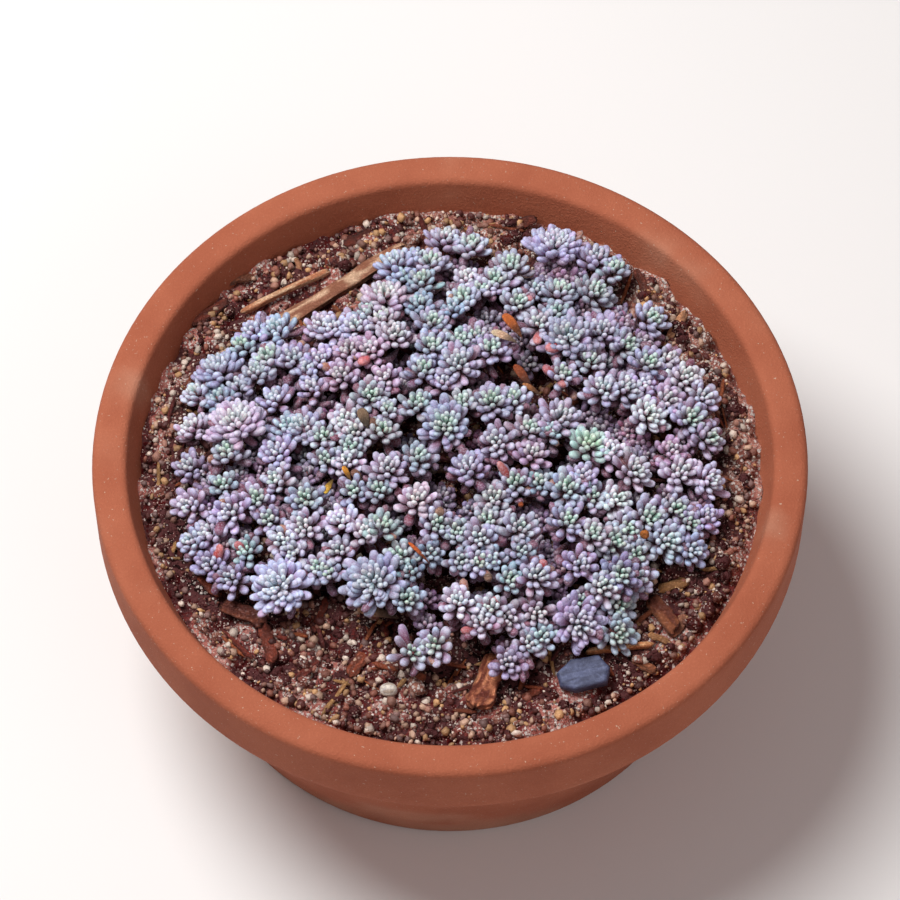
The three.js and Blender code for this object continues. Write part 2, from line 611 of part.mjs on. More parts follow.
const model = new THREE.Group();
const tufts = growMat();
const holes = tufts.map((tuft) => toSolid(holeGeometry(tuft.fork.x, tuft.fork.y)));
const soil = toSolid(soilGeometry()).subtract(joinAll(holes));
model.add(makeMesh("pan", panGeometry(), PAN_FINISH));
model.add(makeMesh("soil", toGeometry(soil), SOIL_FINISH));
for (const tuft of tufts) model.add(makeMesh(tuft.name, tuftGeometry(tuft), LEAF_FINISH));
CHIPS.forEach((chip, index) => {
  const finish = { color: chip.color, roughness: CHIP_ROUGHNESS };
  model.add(makeMesh(chip.name, chipGeometry(chip, seededRandom(index)), finish));
});
for (const straw of STRAWS) {
  model.add(makeMesh(straw.name, strawGeometry(straw), { color: straw.color, roughness: STRAW_ROUGHNESS }));
}
const pebbleFinish = { color: PEBBLE.color, roughness: PEBBLE_ROUGHNESS };
model.add(makeMesh(PEBBLE.name, pebbleGeometry(PEBBLE), pebbleFinish));

export default model;
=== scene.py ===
"""The looks of a mat of spanish stonecrop in a shallow clay pan, built round its solids.

The frame and every Blender object are in metres, with +Z up and the front facing -Y. Shapes are worked out in
millimetres and turned into metres where a mesh is made.
"""

import itertools
import math
from collections import namedtuple

import bpy
import numpy as np
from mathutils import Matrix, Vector


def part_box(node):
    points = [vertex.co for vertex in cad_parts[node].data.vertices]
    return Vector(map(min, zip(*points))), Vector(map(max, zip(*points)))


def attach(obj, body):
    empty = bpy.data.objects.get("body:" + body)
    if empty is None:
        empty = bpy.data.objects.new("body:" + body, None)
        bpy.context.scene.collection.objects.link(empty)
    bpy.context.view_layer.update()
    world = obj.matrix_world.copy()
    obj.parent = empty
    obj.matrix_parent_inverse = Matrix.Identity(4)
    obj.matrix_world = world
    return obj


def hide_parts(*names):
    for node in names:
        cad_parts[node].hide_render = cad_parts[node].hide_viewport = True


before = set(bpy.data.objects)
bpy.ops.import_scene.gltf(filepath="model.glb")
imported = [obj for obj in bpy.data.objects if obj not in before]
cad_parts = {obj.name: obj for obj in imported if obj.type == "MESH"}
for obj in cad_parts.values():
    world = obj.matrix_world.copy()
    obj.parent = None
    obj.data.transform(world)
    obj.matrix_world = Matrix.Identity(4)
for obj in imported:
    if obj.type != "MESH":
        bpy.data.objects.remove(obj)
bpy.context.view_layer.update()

MM = 0.001
FULL_TURN = 2 * math.pi
GOLDEN_TURN = math.pi * (3 - math.sqrt(5))

# Pan and soil, with the sizes of the solids
PAN_HEIGHT = 64
PAN_BASE_RADIUS = 54
PAN_WAIST_RADIUS = 66.5
RIM_RADIUS = 72
RIM_DEPTH = 15
RIM_THICKNESS = 6.5
WALL_THICKNESS = 5
FLOOR_THICKNESS = 7
DRAIN_RADIUS = 6
EDGE_ROUND = 1.6
SOIL_TOP = 57
SOIL_RELIEF = 0.7
SWELL_SHARE = 0.6
RIPPLE_SHARE = 0.4

# Where the heads stand, by the rule of the solids
VIEW_ELEVATION = math.radians(60)
VIEW_HEIGHT = 69
MOUND_RADIUS = 56
MOUND_EDGE = 5.2
MOUND_RISE = 10
MOUND_ROUGHNESS = 1.4
HEAD_REACH_MAX = 56.5
LEAN_EDGE = math.radians(34)
LEAN_RANDOM = 0.22
FORK_LOW = 3
FORK_SHARE = 0.34
POST_DEPTH = 8.6
RANDOM_SPREAD = 2654435761
RANDOM_FACTOR = 1664525
RANDOM_STEP = 1013904223
RANDOM_RANGE = 2 ** 32

# Each line is a tuft and lists its heads: how far right and up from the middle each one looks, its radius and its
# tones. Tones: L lavender, B blue, T teal, G green heart, V green all over, C cream, P pink. A W at the end is for
# a head that is wide open, with long leaves.
TUFTS = """
-11.2 37.4 4 BL, -9.7 34 2.5 T, -6.5 38.4 2 B, -3.8 37.3 3.5 GC
-0.8 42.4 3.5 L, 4.4 41 3.6 CG
3.6 33.6 2.5 C, 9.4 33.3 3.5 G, 6.4 31.4 2.3 CG, 12.6 36.5 3.5 GC
21.9 41.2 5.5 L, 31 38.9 4 L, 34.2 36.2 3 GL, 30.3 30.8 3.8 G
14.2 28.4 3 GL, 18.1 31 2 T, 22.8 31.2 3.6 GC
-13.3 30.3 4.5 PL, -16.8 26.8 2.3 G, -13.8 25.2 2.8 PC
-6 33.4 3 GT, -6.2 28.4 2.8 T, 2.6 29.6 3.2 GC, 0.3 27.3 2 T
-11.1 21.8 3.2 C, -3.4 24.3 3.3 GC, -3.6 19.4 3.5 G
2 20.5 2.6 VG, 5.2 21.6 2.6 LG, 8.4 19 3.3 LG, 1.7 15.8 4.2 L
18.1 24 3.3 LC, 21.7 26.4 2.4 T, 24 21.4 5 L
31 22.6 4.2 L, 36.3 19.6 3.5 GL, 41.6 25.3 3.5 G
-47.5 15.3 4.5 BL, -43.1 11.4 2.6 L, -47.4 8.9 3 T, -52 10 3 L
-42.6 20 2.8 G, -40.5 22.8 3.5 B, -36 23 4 B, -37.4 17.2 3.8 GC, -39.4 14.1 3.2 L
-31.8 17 3.5 L, -29.1 14.8 2.1 L, -26.3 16.8 2.8 LC
-26.5 24 3 L, -24.2 23.5 3.2 L, -19.4 23.5 3.5 LC
-20.5 18.5 3 P, -16.5 18.6 3.4 P, -22.2 13.4 3 PC
-13.3 12.7 3 PC, -15.8 9.1 3.3 GC, -12.4 6.6 2.2 G, -13.3 2.3 2.8 G
-5.4 14.7 3.4 GL, -6.5 7.8 3 G, -1.3 12 1.8 L
8.3 8.3 4 GL, 12.6 8.8 3 LG, 2.4 8 2.6 G
28.4 16.4 2.8 G, 30.8 10.9 3.5 CL, 23 13.7 2.9 GL
36 10.9 3.6 LC, 39.4 11.5 2.6 L, 40.3 5.6 4 CL, 44.1 8.4 3.6 PL
40.5 16 3.5 LG, 44.5 16.8 3 CL, 48.1 13 3.5 C
48.8 4.6 4 LG, 51.5 9 3 L, 52.8 0.5 3 LG
-43.1 4.4 5.5 CP, -44.9 -2 3 G, -52.5 3 3.2 CL, -53 -5 3 L
-35.6 8.7 2.8 L, -32.9 3.2 3.2 T, -29.8 3.2 3.8 L, -28.1 10.9 2.5 L
-35.1 -2 3.6 L, -35.1 -7.7 2.6 LC, -38.6 -11.5 3.3 GL, -36.3 -15.7 2.6 LG
-25.4 1 2.8 CG, -24.9 -3.6 2.4 G, -20.2 -1.1 2.6 GC, -20.8 -4 2.4 C, -21.1 4.4 2.8 C, -19.3 1.9 3 C
-1 3.3 4.6 LG, 9.2 -0.2 3.2 CL, 3.5 -5 3.6 LC
22.4 5 3.8 L, 20.3 2.3 1.8 T, 16 2.8 3 LG, 16.5 -2.2 3 LP
28 -0.4 4 V, 32.1 -1.5 3 C, 23.2 -9.2 3.6 GL, 26.7 -6.8 2.6 L
44.5 -1.8 3 P, 46.3 -6.1 4 CL, 37.2 -5.8 3.5 CL, 52.5 -8 3.2 CL
-45.6 -8.8 2.6 GT, -44 -14.1 3.5 CL, -52.5 -13 3.2 LC
-28.8 -11.5 3.4 TG, -29 -17.1 3.3 CL, -33.3 -19.8 2.6 CL, -31.3 -22.1 2 CL
-19.3 -10 2.4 GT, -21.7 -15.5 2.8 LC, -13.3 -16.4 3 VG, -16.7 -17.8 2.8 C
-6.3 -2.9 2.8 G, -12.2 -5.2 3.7 LC, -14.2 -9.5 2.2 GT, -6.5 -11.4 3.3 C
8.6 -11.3 3.2 LC, 7.3 -15.5 2.8 G, 12.9 -8.1 3 LG, 17.8 -8.1 2.2 TG
28.4 -11 2.8 G, 33.4 -11.8 3.2 C, 32.8 -20.2 3.8 GL, 35.6 -17.8 3 G
40 -15.4 3.9 LG, 45.4 -13.8 3.6 GL, 43.4 -20.3 3.8 TL, 48.6 -22 3 BL, 48.2 -16.6 3 G, 51.5 -15 3 L
-48.7 -18.2 3.3 LC, -52 -20 2.8 L, -48.1 -24.6 3.2 L, -43.7 -27.3 3 L, -40.8 -21.6 2.4 T
-34 -28.5 5.5 BC, -26.3 -24.8 2.4 LG, -24.2 -25.9 2.3 G, -22 -21.6 2.8 L
-10.2 -22.5 2.8 CG, -8 -25.7 2 T, -15.4 -27.6 5.5 CB, -8.3 -31.1 2.6 TG
-2.4 -16.4 3.2 GL, 1.2 -18 2.2 TG, -3.8 -22.1 2.3 T
5.8 -23.9 2.6 CG, 8.4 -23.4 2 T, 2.1 -23.6 2.2 TC, 5.8 -19.3 3.2 LT
1.4 -31.4 3.2 CL, 7.8 -32.6 2.2 C, 5.8 -35.6 2.6 CL
11.9 -27.2 2.4 GT, 17.2 -26.4 3.4 LC, 13.8 -17.1 3.6 LC, 14.2 -21.6 2.3 T
23.5 -15.7 3.2 LG, 28.5 -18.4 3 CG, 25.8 -24.4 3.2 L
30.3 -28.6 3.2 LC, 33.7 -26.4 3.6 LG, 37.1 -27.3 3 L, 36.9 -22.7 3 G
33.7 -32.5 3.6 G, 33.5 -38.2 3.6 G, 26 -31.8 2.2 CG, 25.8 -36.2 5 L
11.3 -35.2 3 CL, 17.2 -34.1 3 CL, 15.5 -39.7 2.5 L, 18.1 -38.6 2.8 T, 11.2 -43.5 3 LB
-3.2 -40 2.3 GCW, -7.2 -41.6 2.3 LGW
"""

# Stems, in millimetres
STEM_RADIUS = 0.52
STEM_FOOT_RADIUS = 0.85
STEM_RINGS = 7
STEM_SIDES = 6
SHOOT_SLIMNESS = 0.75

# Leaves of a head, in millimetres, for a head of radius USUAL_RADIUS
USUAL_RADIUS = 3
LEAVES_FEWEST = 9
LEAVES_GROWTH = 1.4
LEAVES_CROWDING = 0.92
HEART_SHARE = 0.4
REACH_START = 0.3
REACH_LEAST = 1.6
REACH_SHARE = 0.98
WIDE_REACH = 1.4
WIDE_WIDTH = 1.25
HEAD_LIFT = 0.4
REACH_POWER = 0.92
REACH_POWER_FALL = 0.11
DOME_RADIUS = 4
DOME_LEAVES = 16
CROWN_HEIGHT = 1.25
CROWN_FALL = 1.65
CROWN_FALL_POWER = 1.7
FOOT_START = 0.5
FOOT_FALL = 2.3
FOOT_OFFSET = 0.4
BUD_WIDTH = 0.86
WIDTH_GROWTH = 0.58
WIDTH_BY_RADIUS = 0.14
WIDTH_POWER = 0.75
BUD_PLUMPNESS = 0.95
OLD_PLUMPNESS = 0.74
UPPER_FLATNESS = 0.92
BUD_SAG = 0.28
OLD_SAG = 0.1
LEAF_NARROW = 0.85
LEAF_BLUNT = 0.42
HEART_RINGS = 4
HEART_SIDES = 6
LEAF_RINGS = 7
LEAF_SIDES = 8

# How far the turn, reach, height, width, lightness and tone of a leaf stray by chance
TURN_STRAY = 0.17
REACH_STRAY = 0.1
HEIGHT_STRAY = 0.2
WIDTH_STRAY = 0.07
LIGHT_STRAY = 0.035
TONE_STRAY = 0.012

# Old leaves that a stem still carries below its head
SKIRT_LEAVES = 7
SKIRT_START = 2.4
SKIRT_STEP = 0.62
SKIRT_LENGTH = 4.6
SKIRT_WIDTH = 2.1
SKIRT_CLEARANCE = 0.9
SKIRT_BELOW_HEAD = 0.8
SKIRT_LENGTH_SPREAD = (0.75, 1.15)
SKIRT_WIDTH_SPREAD = (0.85, 1.15)
SKIRT_DROOP = (0.32, 0.22)
SKIRT_STUMPINESS = 0.62
SKIRT_FRESH_SHARE = 0.95

# Low side shoots that fill the mat between the heads
SHOOT_SPACING = 3.7
SHOOT_JITTER = 1.2
SHOOT_NEAREST = 3.4
SHOOT_SIGHT = 10.5
SHOOT_OPEN_SIDE = math.radians(140)
SHOOT_RISE = 3.4
SHOOT_SHARE = 0.3
# Painted shade: the low shoots' tones are darkened and reddened as if in the shade of the heads
SHOOT_SHADE = (0.87, 0.66, 0.72)
SHOOT_RADIUS = (1.8, 2.6)
SHOOT_TONES = ("T", "B", "L", "TB", "P")
SHOOT_SEED = 5000
SHOOT_TILT = 0.25
SHOOT_OUTWARD = 0.04

# Tones as they look on a screen: the leaf's body, its tip and edges, and the young leaves of its heart
TONES = {
    "L": ((0.49, 0.31, 0.43), (0.72, 0.73, 0.86), (0.67, 0.74, 0.78)),
    "B": ((0.42, 0.33, 0.46), (0.67, 0.74, 0.87), (0.64, 0.75, 0.80)),
    "T": ((0.37, 0.33, 0.41), (0.61, 0.73, 0.81), (0.56, 0.75, 0.74)),
    "G": ((0.43, 0.34, 0.42), (0.69, 0.76, 0.83), (0.59, 0.77, 0.67)),
    "V": ((0.43, 0.50, 0.45), (0.68, 0.84, 0.78), (0.62, 0.83, 0.62)),
    "C": ((0.54, 0.37, 0.47), (0.84, 0.86, 0.93), (0.78, 0.85, 0.84)),
    "P": ((0.55, 0.27, 0.38), (0.76, 0.68, 0.80), (0.72, 0.73, 0.74)),
}
LEAD_TONE = 0.62
HEAD_TINGE = 0.018
HEAD_LIGHT = 0.036
HEAD_SEED = 100
TIP_PALENESS = 0.95
EDGE_PALENESS = 0.75
# A leaf's dark red foot and its duller, redder underside are partly the leaf's own colour and partly painted shade
# between the leaves
LEAF_FOOT = (0.37, 0.08, 0.11)
LEAF_UNDERSIDE = (0.97, 0.57, 0.66)
LEAF_BLOOM = (0.05, 0.75)
OLD_LEAF = (0.58, 0.31, 0.38)
DRY_LEAF = (0.60, 0.44, 0.34)
# Painted shade: the dark tone that old leaves below a head take on, the deeper they sit
SHADE_LEAF = (0.36, 0.22, 0.29)
STEM_YOUNG = (0.50, 0.24, 0.26)
STEM_OLD = (0.30, 0.11, 0.09)

# Soil
LITTER_MARGIN = 1.7
CLOD_HEIGHT = 1.25
CLOD_WIDTH = 4.5
BUMP_HEIGHT = 0.65
BUMP_WIDTH = 1.8
SOIL_SIDES = 240
SOIL_TOP_RINGS = 96
SOIL_MIDDLE = 20
SOIL_FIT = 0.15
SOIL_EDGE_DIP = 0.9
# The soil's tint in the hollows between clods is partly its own dark earth and partly painted shade
SOIL_HOLLOW = (0.34, 0.03, 0.04)
SOIL_CLOD = (0.83, 0.55, 0.50)
SOIL_PALE = (0.97, 0.89, 0.84)
# The soil's tint towards the back right, where it turns paler and tanner, and where that starts and is full
SOIL_BACK_RIGHT = (0.93, 0.74, 0.65)
BACK_RIGHT_START = 10
BACK_RIGHT_FULL = 75
# How near a head the soil's painted shade under the mat is full, and how far off it fades out
MAT_SHADE_NEAR = 3.5
MAT_SHADE_FAR = 7
SAND_PALE = (0.68, 0.58, 0.53, 1)
SAND_TAN = (0.55, 0.39, 0.34, 1)
SAND_DARK = (0.10, 0.03, 0.03, 1)

# Grains on the soil: how many, how far from the rim, their sizes, rings and sides, how deep they sit, how uneven
# they are, and their tones
GRIT = (6400, 1.6, (0.24, 1.15), 2, 5, 0.45, 0.16, (
    (0.87, 0.80, 0.74), (0.76, 0.62, 0.53), (0.62, 0.44, 0.38), (0.50, 0.38, 0.36), (0.78, 0.60, 0.42),
    (0.54, 0.33, 0.27), (0.33, 0.13, 0.11)))
CRUMBS = (700, 2.6, (0.5, 2.1), 4, 7, 0.6, 0.2, (
    (0.27, 0.08, 0.08), (0.42, 0.15, 0.12), (0.36, 0.16, 0.16), (0.60, 0.38, 0.33), (0.74, 0.53, 0.46)))

GRAIN_SQUASH = (0.6, 1.15)
GRAIN_FINENESS = 2.2
GRAIN_LIGHT = (0.8, 1.12)
LITTER_AVOIDANCE = 10
MAT_AVOIDANCE = 2

# Bars: their rings and sides, how ragged their ends and how fibrous their faces are, how blunt they end, and how
# far they bow up
Bar = namedtuple("Bar", "rings sides ragged fibre blunt bow", defaults=[0])
CHIP = Bar(44, 22, 0.8, 0.3, 14)
STRAW = Bar(50, 14, 0.5, 0.12, 14)
SPLINTER = Bar(8, 6, 0.25, 0.2, 4)
LOOSE_BIT = Bar(24, 14, 0.5, 0.3, 6)

# Litter with solids of its own: the solid, its length, width and thickness, its turn in degrees, and for the bars
# also the slot, the form and the two tones of the streaks
LITTER = [
    ("bark_strip", (34, 3.2, 1.0), 36, "bark", CHIP._replace(rings=90, ragged=1.5),
     ((0.70, 0.46, 0.35), (1.0, 0.84, 0.70))),
    ("bark_chip_left", (9, 3.4, 1.3), -25, "bark", CHIP, ((0.36, 0.15, 0.10), (0.52, 0.27, 0.17))),
    ("bark_chip_right", (8.5, 2.8, 1.2), -58, "bark", CHIP, ((0.45, 0.22, 0.14), (0.64, 0.38, 0.24))),
    ("wood_chip", (12, 4.2, 1.4), 70, "straw", CHIP, ((0.45, 0.18, 0.11), (0.94, 0.62, 0.45))),
    ("straw_long", (20.5, 1.5, 1.5), 30.3, "straw", STRAW._replace(rings=70, bow=0.4),
     ((0.86, 0.56, 0.40), (1.0, 0.84, 0.68))),
    ("straw_short", (13.2, 1.3, 1.3), 7, "straw", STRAW, ((0.86, 0.56, 0.36), (1.0, 0.82, 0.62))),
]
SLATE = ("slate_chip", (10.5, 7.2, 2.3), 20)
SLATE_CORNERS = ((1, -0.15), (0.8, 0.72), (-0.3, 1), (-0.95, 0.5), (-1, -0.3), (-0.55, -0.85), (0.68, -0.98))
SLATE_TONES = ((0.26, 0.28, 0.38), (0.39, 0.42, 0.54))
PEBBLE = ("pebble", (3.6, 2.9, 2.2), 0)
PEBBLE_TONES = ((0.68, 0.60, 0.52), (0.88, 0.84, 0.77))

# The slate's rows, from its middle underneath to its middle on top: the share of its outline and of its half height
SLATE_ROWS = ((0.35, -1), (0.7, -1), (0.94, -1), (1, -0.7), (1.02, -0.2), (1, 0.4), (0.93, 1), (0.82, 1), (0.7, 1),
              (0.55, 1), (0.4, 1), (0.25, 1), (0.12, 1))

SPLINTER_COUNT = 240
SPLINTER_SHORTEST = 2.2
SPLINTER_STRETCH = 8
SPLINTER_WIDTH = (0.35, 1.1)
SPLINTER_TILT = 0.08
SPLINTER_FLATNESS = 0.55
SPLINTER_TONES = ((0.62, 0.30, 0.17), (0.80, 0.60, 0.38), (0.42, 0.13, 0.10), (0.54, 0.20, 0.13),
                  (0.68, 0.35, 0.18))

# Each loose bit: where it starts and ends in the view, its width and thickness, and its colour
LOOSE_BITS = [
    ((1.5, 46), (6.5, 41.5), 0.9, 0.8, (0.96, 0.68, 0.42)),
    ((-32, 38.5), (-30.5, 33.5), 1.5, 1.1, (0.74, 0.52, 0.38)),
    ((38.5, 35), (41, 29.5), 1.6, 0.6, (0.50, 0.24, 0.17)),
    ((45, 21), (48.5, 26.5), 1.7, 0.8, (0.94, 0.68, 0.50)),
    ((41.5, -29.5), (47.5, -28), 2, 0.7, (0.98, 0.70, 0.44)),
    ((43.5, -38.5), (47, -34.5), 2.2, 0.8, (0.92, 0.62, 0.48)),
    ((39.5, -39), (43.5, -40.5), 1.4, 0.8, (0.96, 0.68, 0.44)),
    ((3.5, -41.5), (-1, -49), 0.8, 0.7, (0.80, 0.42, 0.20)),
    ((-27, -38), (-24.5, -31.5), 1.3, 0.6, (0.60, 0.24, 0.15)),
    ((-35, -44), (-37, -36.5), 2.4, 0.7, (0.62, 0.27, 0.18)),
    ((-20, -46), (-16, -41), 2.6, 0.8, (0.66, 0.32, 0.20)),
    ((-30, -47), (-26, -43), 1.8, 0.6, (0.50, 0.18, 0.12)),
    ((-46, -31), (-50, -27), 2, 0.7, (0.60, 0.28, 0.18)),
    ((-5, -46), (-9.5, -49.5), 1.9, 0.6, (0.70, 0.36, 0.22)),
    ((-53, 24), (-46, 29), 2.2, 0.7, (0.50, 0.22, 0.15)),
    ((-47, 33), (-41, 34), 1.8, 0.6, (0.62, 0.36, 0.24)),
    ((-22, 41), (-16, 44), 2.4, 0.6, (0.48, 0.20, 0.14)),
    ((12, 44.5), (18, 46), 2, 0.6, (0.52, 0.24, 0.17)),
    ((36, -43), (40.5, -45.5), 1.7, 0.7, (0.66, 0.40, 0.26)),
    ((14, -50.5), (18.5, -48.5), 1.6, 0.7, (0.60, 0.28, 0.18)),
]

# Red leaves: where the tip is in the view, its width and its colour
RED_LEAVES = [
    (-18.1, 15.5, 2.3, (0.86, 0.30, 0.28)),
    (19.5, 18.3, 2.7, (0.74, 0.20, 0.20)),
    (17.6, 19.6, 2.0, (0.80, 0.30, 0.28)),
    (18.8, 14.9, 2.2, (0.68, 0.16, 0.16)),
    (22.8, 11, 2, (0.70, 0.15, 0.14)),
    (9.5, -4.3, 1.8, (0.74, 0.23, 0.20)),
    (18.8, -23.6, 2.2, (0.64, 0.12, 0.12)),
    (9.2, -30.8, 1.8, (0.66, 0.22, 0.22)),
    (-45.5, -20.8, 2.2, (0.80, 0.20, 0.16)),
    (-42.6, -20.4, 1.9, (0.76, 0.22, 0.20)),
    (16.8, 29.2, 1.9, (0.72, 0.28, 0.28)),
    (2.2, -37.5, 1.8, (0.66, 0.20, 0.18)),
]

# Dry leaves, shards and strands: their ends in the view, their height on the canopy, width, thickness and colour
DRY_BITS = [
    ((10.9, 25.6), (14.6, 20.6), 1.6, 2.1, 0.7, (0.84, 0.45, 0.20)),
    ((8.4, 22), (13.6, 19.6), 1.9, 1.8, 0.6, (1.0, 0.83, 0.70)),
    ((13, 15.2), (16.6, 9.8), -0.6, 1.9, 0.8, (0.60, 0.30, 0.16)),
    ((14.6, 11.4), (18.4, 8.8), -0.4, 1.2, 0.6, (0.70, 0.46, 0.28)),
    ((-21.3, -5.2), (-19.6, -8.2), 0.4, 1.1, 0.5, (0.90, 0.62, 0.20)),
    ((-24.9, -10.6), (-23.2, -7.8), 0.2, 1.3, 0.5, (0.94, 0.74, 0.26)),
    ((-8.2, -20.2), (-3.8, -24.6), 0.2, 0.8, 0.6, (0.86, 0.42, 0.18)),
    ((-17.9, 6.3), (-16.4, 2.2), 0.4, 2.3, 1.2, (0.58, 0.48, 0.38)),
    ((-15.8, 4.4), (-14.4, 1), -0.2, 1.9, 1.1, (0.54, 0.40, 0.34)),
    ((-19.4, -6), (-17.4, -8.6), -0.2, 1.8, 1, (0.56, 0.40, 0.34)),
    ((-18.3, -33.4), (-10, -35.3), -5.2, 2.3, 0.9, (0.78, 0.62, 0.50)),
]
DRY_CURL = 0.16

# Crumbs caught on the leaves: where they are in the view, their height on the canopy, size and colour
CAUGHT_CRUMBS = [
    (38.6, -18.7, 0.9, 1.9, (0.82, 0.48, 0.16)),
    (-2, -14.2, 1.1, 1.9, (0.80, 0.64, 0.56)),
    (7.5, -27, 0.9, 1.7, (0.74, 0.60, 0.52)),
    (14, -12.8, 0.6, 1.1, (0.86, 0.42, 0.20)),
]

# Clay
PAN_SIDES = 144
PAN_STEP = 2.2
WHEEL_DEPTH = 0.07
PAN_UNEVENNESS = 0.1
CLAY = (0.68, 0.39, 0.28)
CLAY_BLOOM = (0.78, 0.62, 0.53)

# Plain skins: the layers of wear that darken the tints of the pieces, the roughness, and the depth and strength of
# the bumps, which follow the first layer. A layer is the size, band, detail and roughness of its patches, then how
# much it darkens and with what.
PLAIN_SKINS = {
    "stem_skin": ([((0.5, 0.35, 0.65), 0.6, (0.25, 0.16, 0.12, 1))], 0.7, (0.12, 0.8)),
    "grit": ([((0.5, 0.35, 0.65, 4, 0.7), 0.5, (0.5, 0.42, 0.38, 1))], 0.5, (0.1, 0.7)),
    "dead_wood": ([((0.45, 0.4, 0.6, 6, 0.7), 0.5, (0.45, 0.32, 0.25, 1)),
                   ((3, 0.35, 0.7), 0.22, (0.5, 0.4, 0.35, 1))], 0.55, (0.2, 0.9)),
    "stone": ([((0.6, 0.4, 0.62, 5, 0.75), 0.75, (0.5, 0.5, 0.6, 1)),
               ((2.4, 0.35, 0.7, 4), 0.35, (0.6, 0.62, 0.7, 1))], 0.55, (0.06, 0.6)),
}

# Camera, with its lens and sensor in millimetres
CAMERA_DISTANCE = 900
LENS = 180
SENSOR = 36
AIM_DROP = 2

# Floor, lights and sky, in metres and watts
FLOOR_HALF = 3.0
FLOOR_COLOR = (0.78, 0.77, 0.75, 1)
LIGHTS = [
    ("key", (-0.3, 0.15, 0.75), 0.42, 7.6, (0.98, 0.99, 1.0)),
    ("fill", (0.5, -0.5, 0.6), 0.7, 1.4, (0.95, 0.96, 1.0)),
]
SKY_COLOR = (1.0, 0.80, 0.78, 1)
SKY_STRENGTH = 0.24


def linear(color):
    """Linear light from a colour as it looks on a screen."""
    color = np.clip(color, 0, 1)
    return np.where(color <= 0.04045, color / 12.92, ((color + 0.055) / 1.055) ** 2.4)


def toward(first, last, share):
    """first where share is 0, last where it is 1."""
    first = np.asarray(first)
    return first + (np.asarray(last) - first) * share


def eased(share):
    return share * share * (3 - 2 * share)


def smooth_step(low, high, value):
    return eased(np.clip((value - low) / (high - low), 0, 1))


def unit(vectors):
    return vectors / np.linalg.norm(vectors, axis=-1, keepdims=True)


def curve(start, bend, end, share):
    """The points at these shares of the curve from start by bend to end, and the way it runs there."""
    points = (1 - share) ** 2 * start + 2 * share * (1 - share) * bend + share ** 2 * end
    return points, unit(2 * (1 - share) * (bend - start) + 2 * share * (end - bend))


def circle(sides):
    """Cosines and sines of evenly spaced turns."""
    turns = FULL_TURN * np.arange(sides) / sides
    return np.cos(turns), np.sin(turns)


def lattice_value(cells, seed):
    """A repeatable number from -1 to 1 for each whole-numbered cell."""
    mixed = (cells @ (374761393, 668265263, 1442695041) + seed * 2246822519) & 0xFFFFFFFF
    for shift, factor in ((13, 1274126177), (16, 2654435769)):
        mixed = ((mixed ^ (mixed >> shift)) * factor) & 0xFFFFFFFF
    return ((mixed ^ (mixed >> 15)) & 0xFFFFFF) / 0x7FFFFF - 1


def rough(points, size, seed, octaves=1):
    """Smooth noise round 0 at the points, with bumps about as wide as size."""
    total = 0
    for octave in range(octaves):
        scaled = points / size * 2 ** octave
        cell = np.floor(scaled).astype(np.int64)
        share = eased(scaled - cell)
        for corner in np.ndindex(2, 2, 2):
            weight = np.prod(np.where(corner, share, 1 - share), axis=-1)
            total = total + weight * lattice_value(cell + corner, seed + octave) / 2 ** octave
    return total


def spindle_faces(rings, sides):
    """Faces of a closed body: an end point, rings of sides points, and the other end point."""
    corners, sizes = [], []
    last = rings * sides + 1
    for side in range(sides):
        after = (side + 1) % sides
        corners += [0, 1 + after, 1 + side]
        for start in range(1, last - sides, sides):
            corners += [start + side, start + after, start + sides + after, start + sides + side]
        corners += [last - sides + side, last - sides + after, last]
        sizes += [3] + [4] * (rings - 1) + [3]
    return np.array(corners), np.array(sizes)


def hoop_faces(rows, sides):
    """Faces of a closed hoop: rows that close on themselves, each of sides points."""
    row, side = np.divmod(np.arange(rows * sides), sides)
    next_row, after = (row + 1) % rows * sides, (side + 1) % sides
    row = row * sides
    corners = np.stack([row + side, row + after, next_row + after, next_row + side], axis=1)
    return corners.ravel(), np.full(rows * sides, 4)


def link(name, data):
    """A new object of the scene that shows the data."""
    piece = bpy.data.objects.new(name, data)
    bpy.context.scene.collection.objects.link(piece)
    return piece


class Shape:
    """Gathers closed bodies, in millimetres, with a colour at each point, and makes one object of them."""

    def __init__(self):
        self.points, self.colors, self.corners, self.sizes = [], [], [], []
        self.count = 0

    def add(self, points, colors, rings, sides, faces=spindle_faces):
        """Adds one body, or a row of bodies that are alike."""
        points = points.reshape(-1, points.shape[-2], 3)
        bodies, per_body = points.shape[:2]
        corners, sizes = faces(rings, sides)
        starts = self.count + per_body * np.arange(bodies)
        self.points.append(points.reshape(-1, 3))
        self.colors.append(np.broadcast_to(colors, points.shape).reshape(-1, 3))
        self.corners.append((corners + starts[:, None]).ravel())
        self.sizes.append(np.tile(sizes, bodies))
        self.count += bodies * per_body

    def make(self, name, material, slot, nodes=(), smooth=True):
        points, colors = np.concatenate(self.points) * MM, np.concatenate(self.colors)
        corners, sizes = np.concatenate(self.corners), np.concatenate(self.sizes)
        mesh = bpy.data.meshes.new(name)
        mesh.vertices.add(self.count)
        mesh.vertices.foreach_set("co", points.astype(np.float32).ravel())
        mesh.loops.add(len(corners))
        mesh.loops.foreach_set("vertex_index", corners.astype(np.int32))
        mesh.polygons.add(len(sizes))
        mesh.polygons.foreach_set("loop_start", (np.cumsum(sizes) - sizes).astype(np.int32))
        mesh.update(calc_edges=True)
        if smooth:
            mesh.shade_smooth()
        tint = mesh.attributes.new("tint", "FLOAT_COLOR", "POINT")
        tint.data.foreach_set("color", np.insert(colors, 3, 1, axis=1).astype(np.float32).ravel())
        mesh.materials.append(material)
        piece = link(name, mesh)
        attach(piece, "root")
        if nodes:
            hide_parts(*nodes)


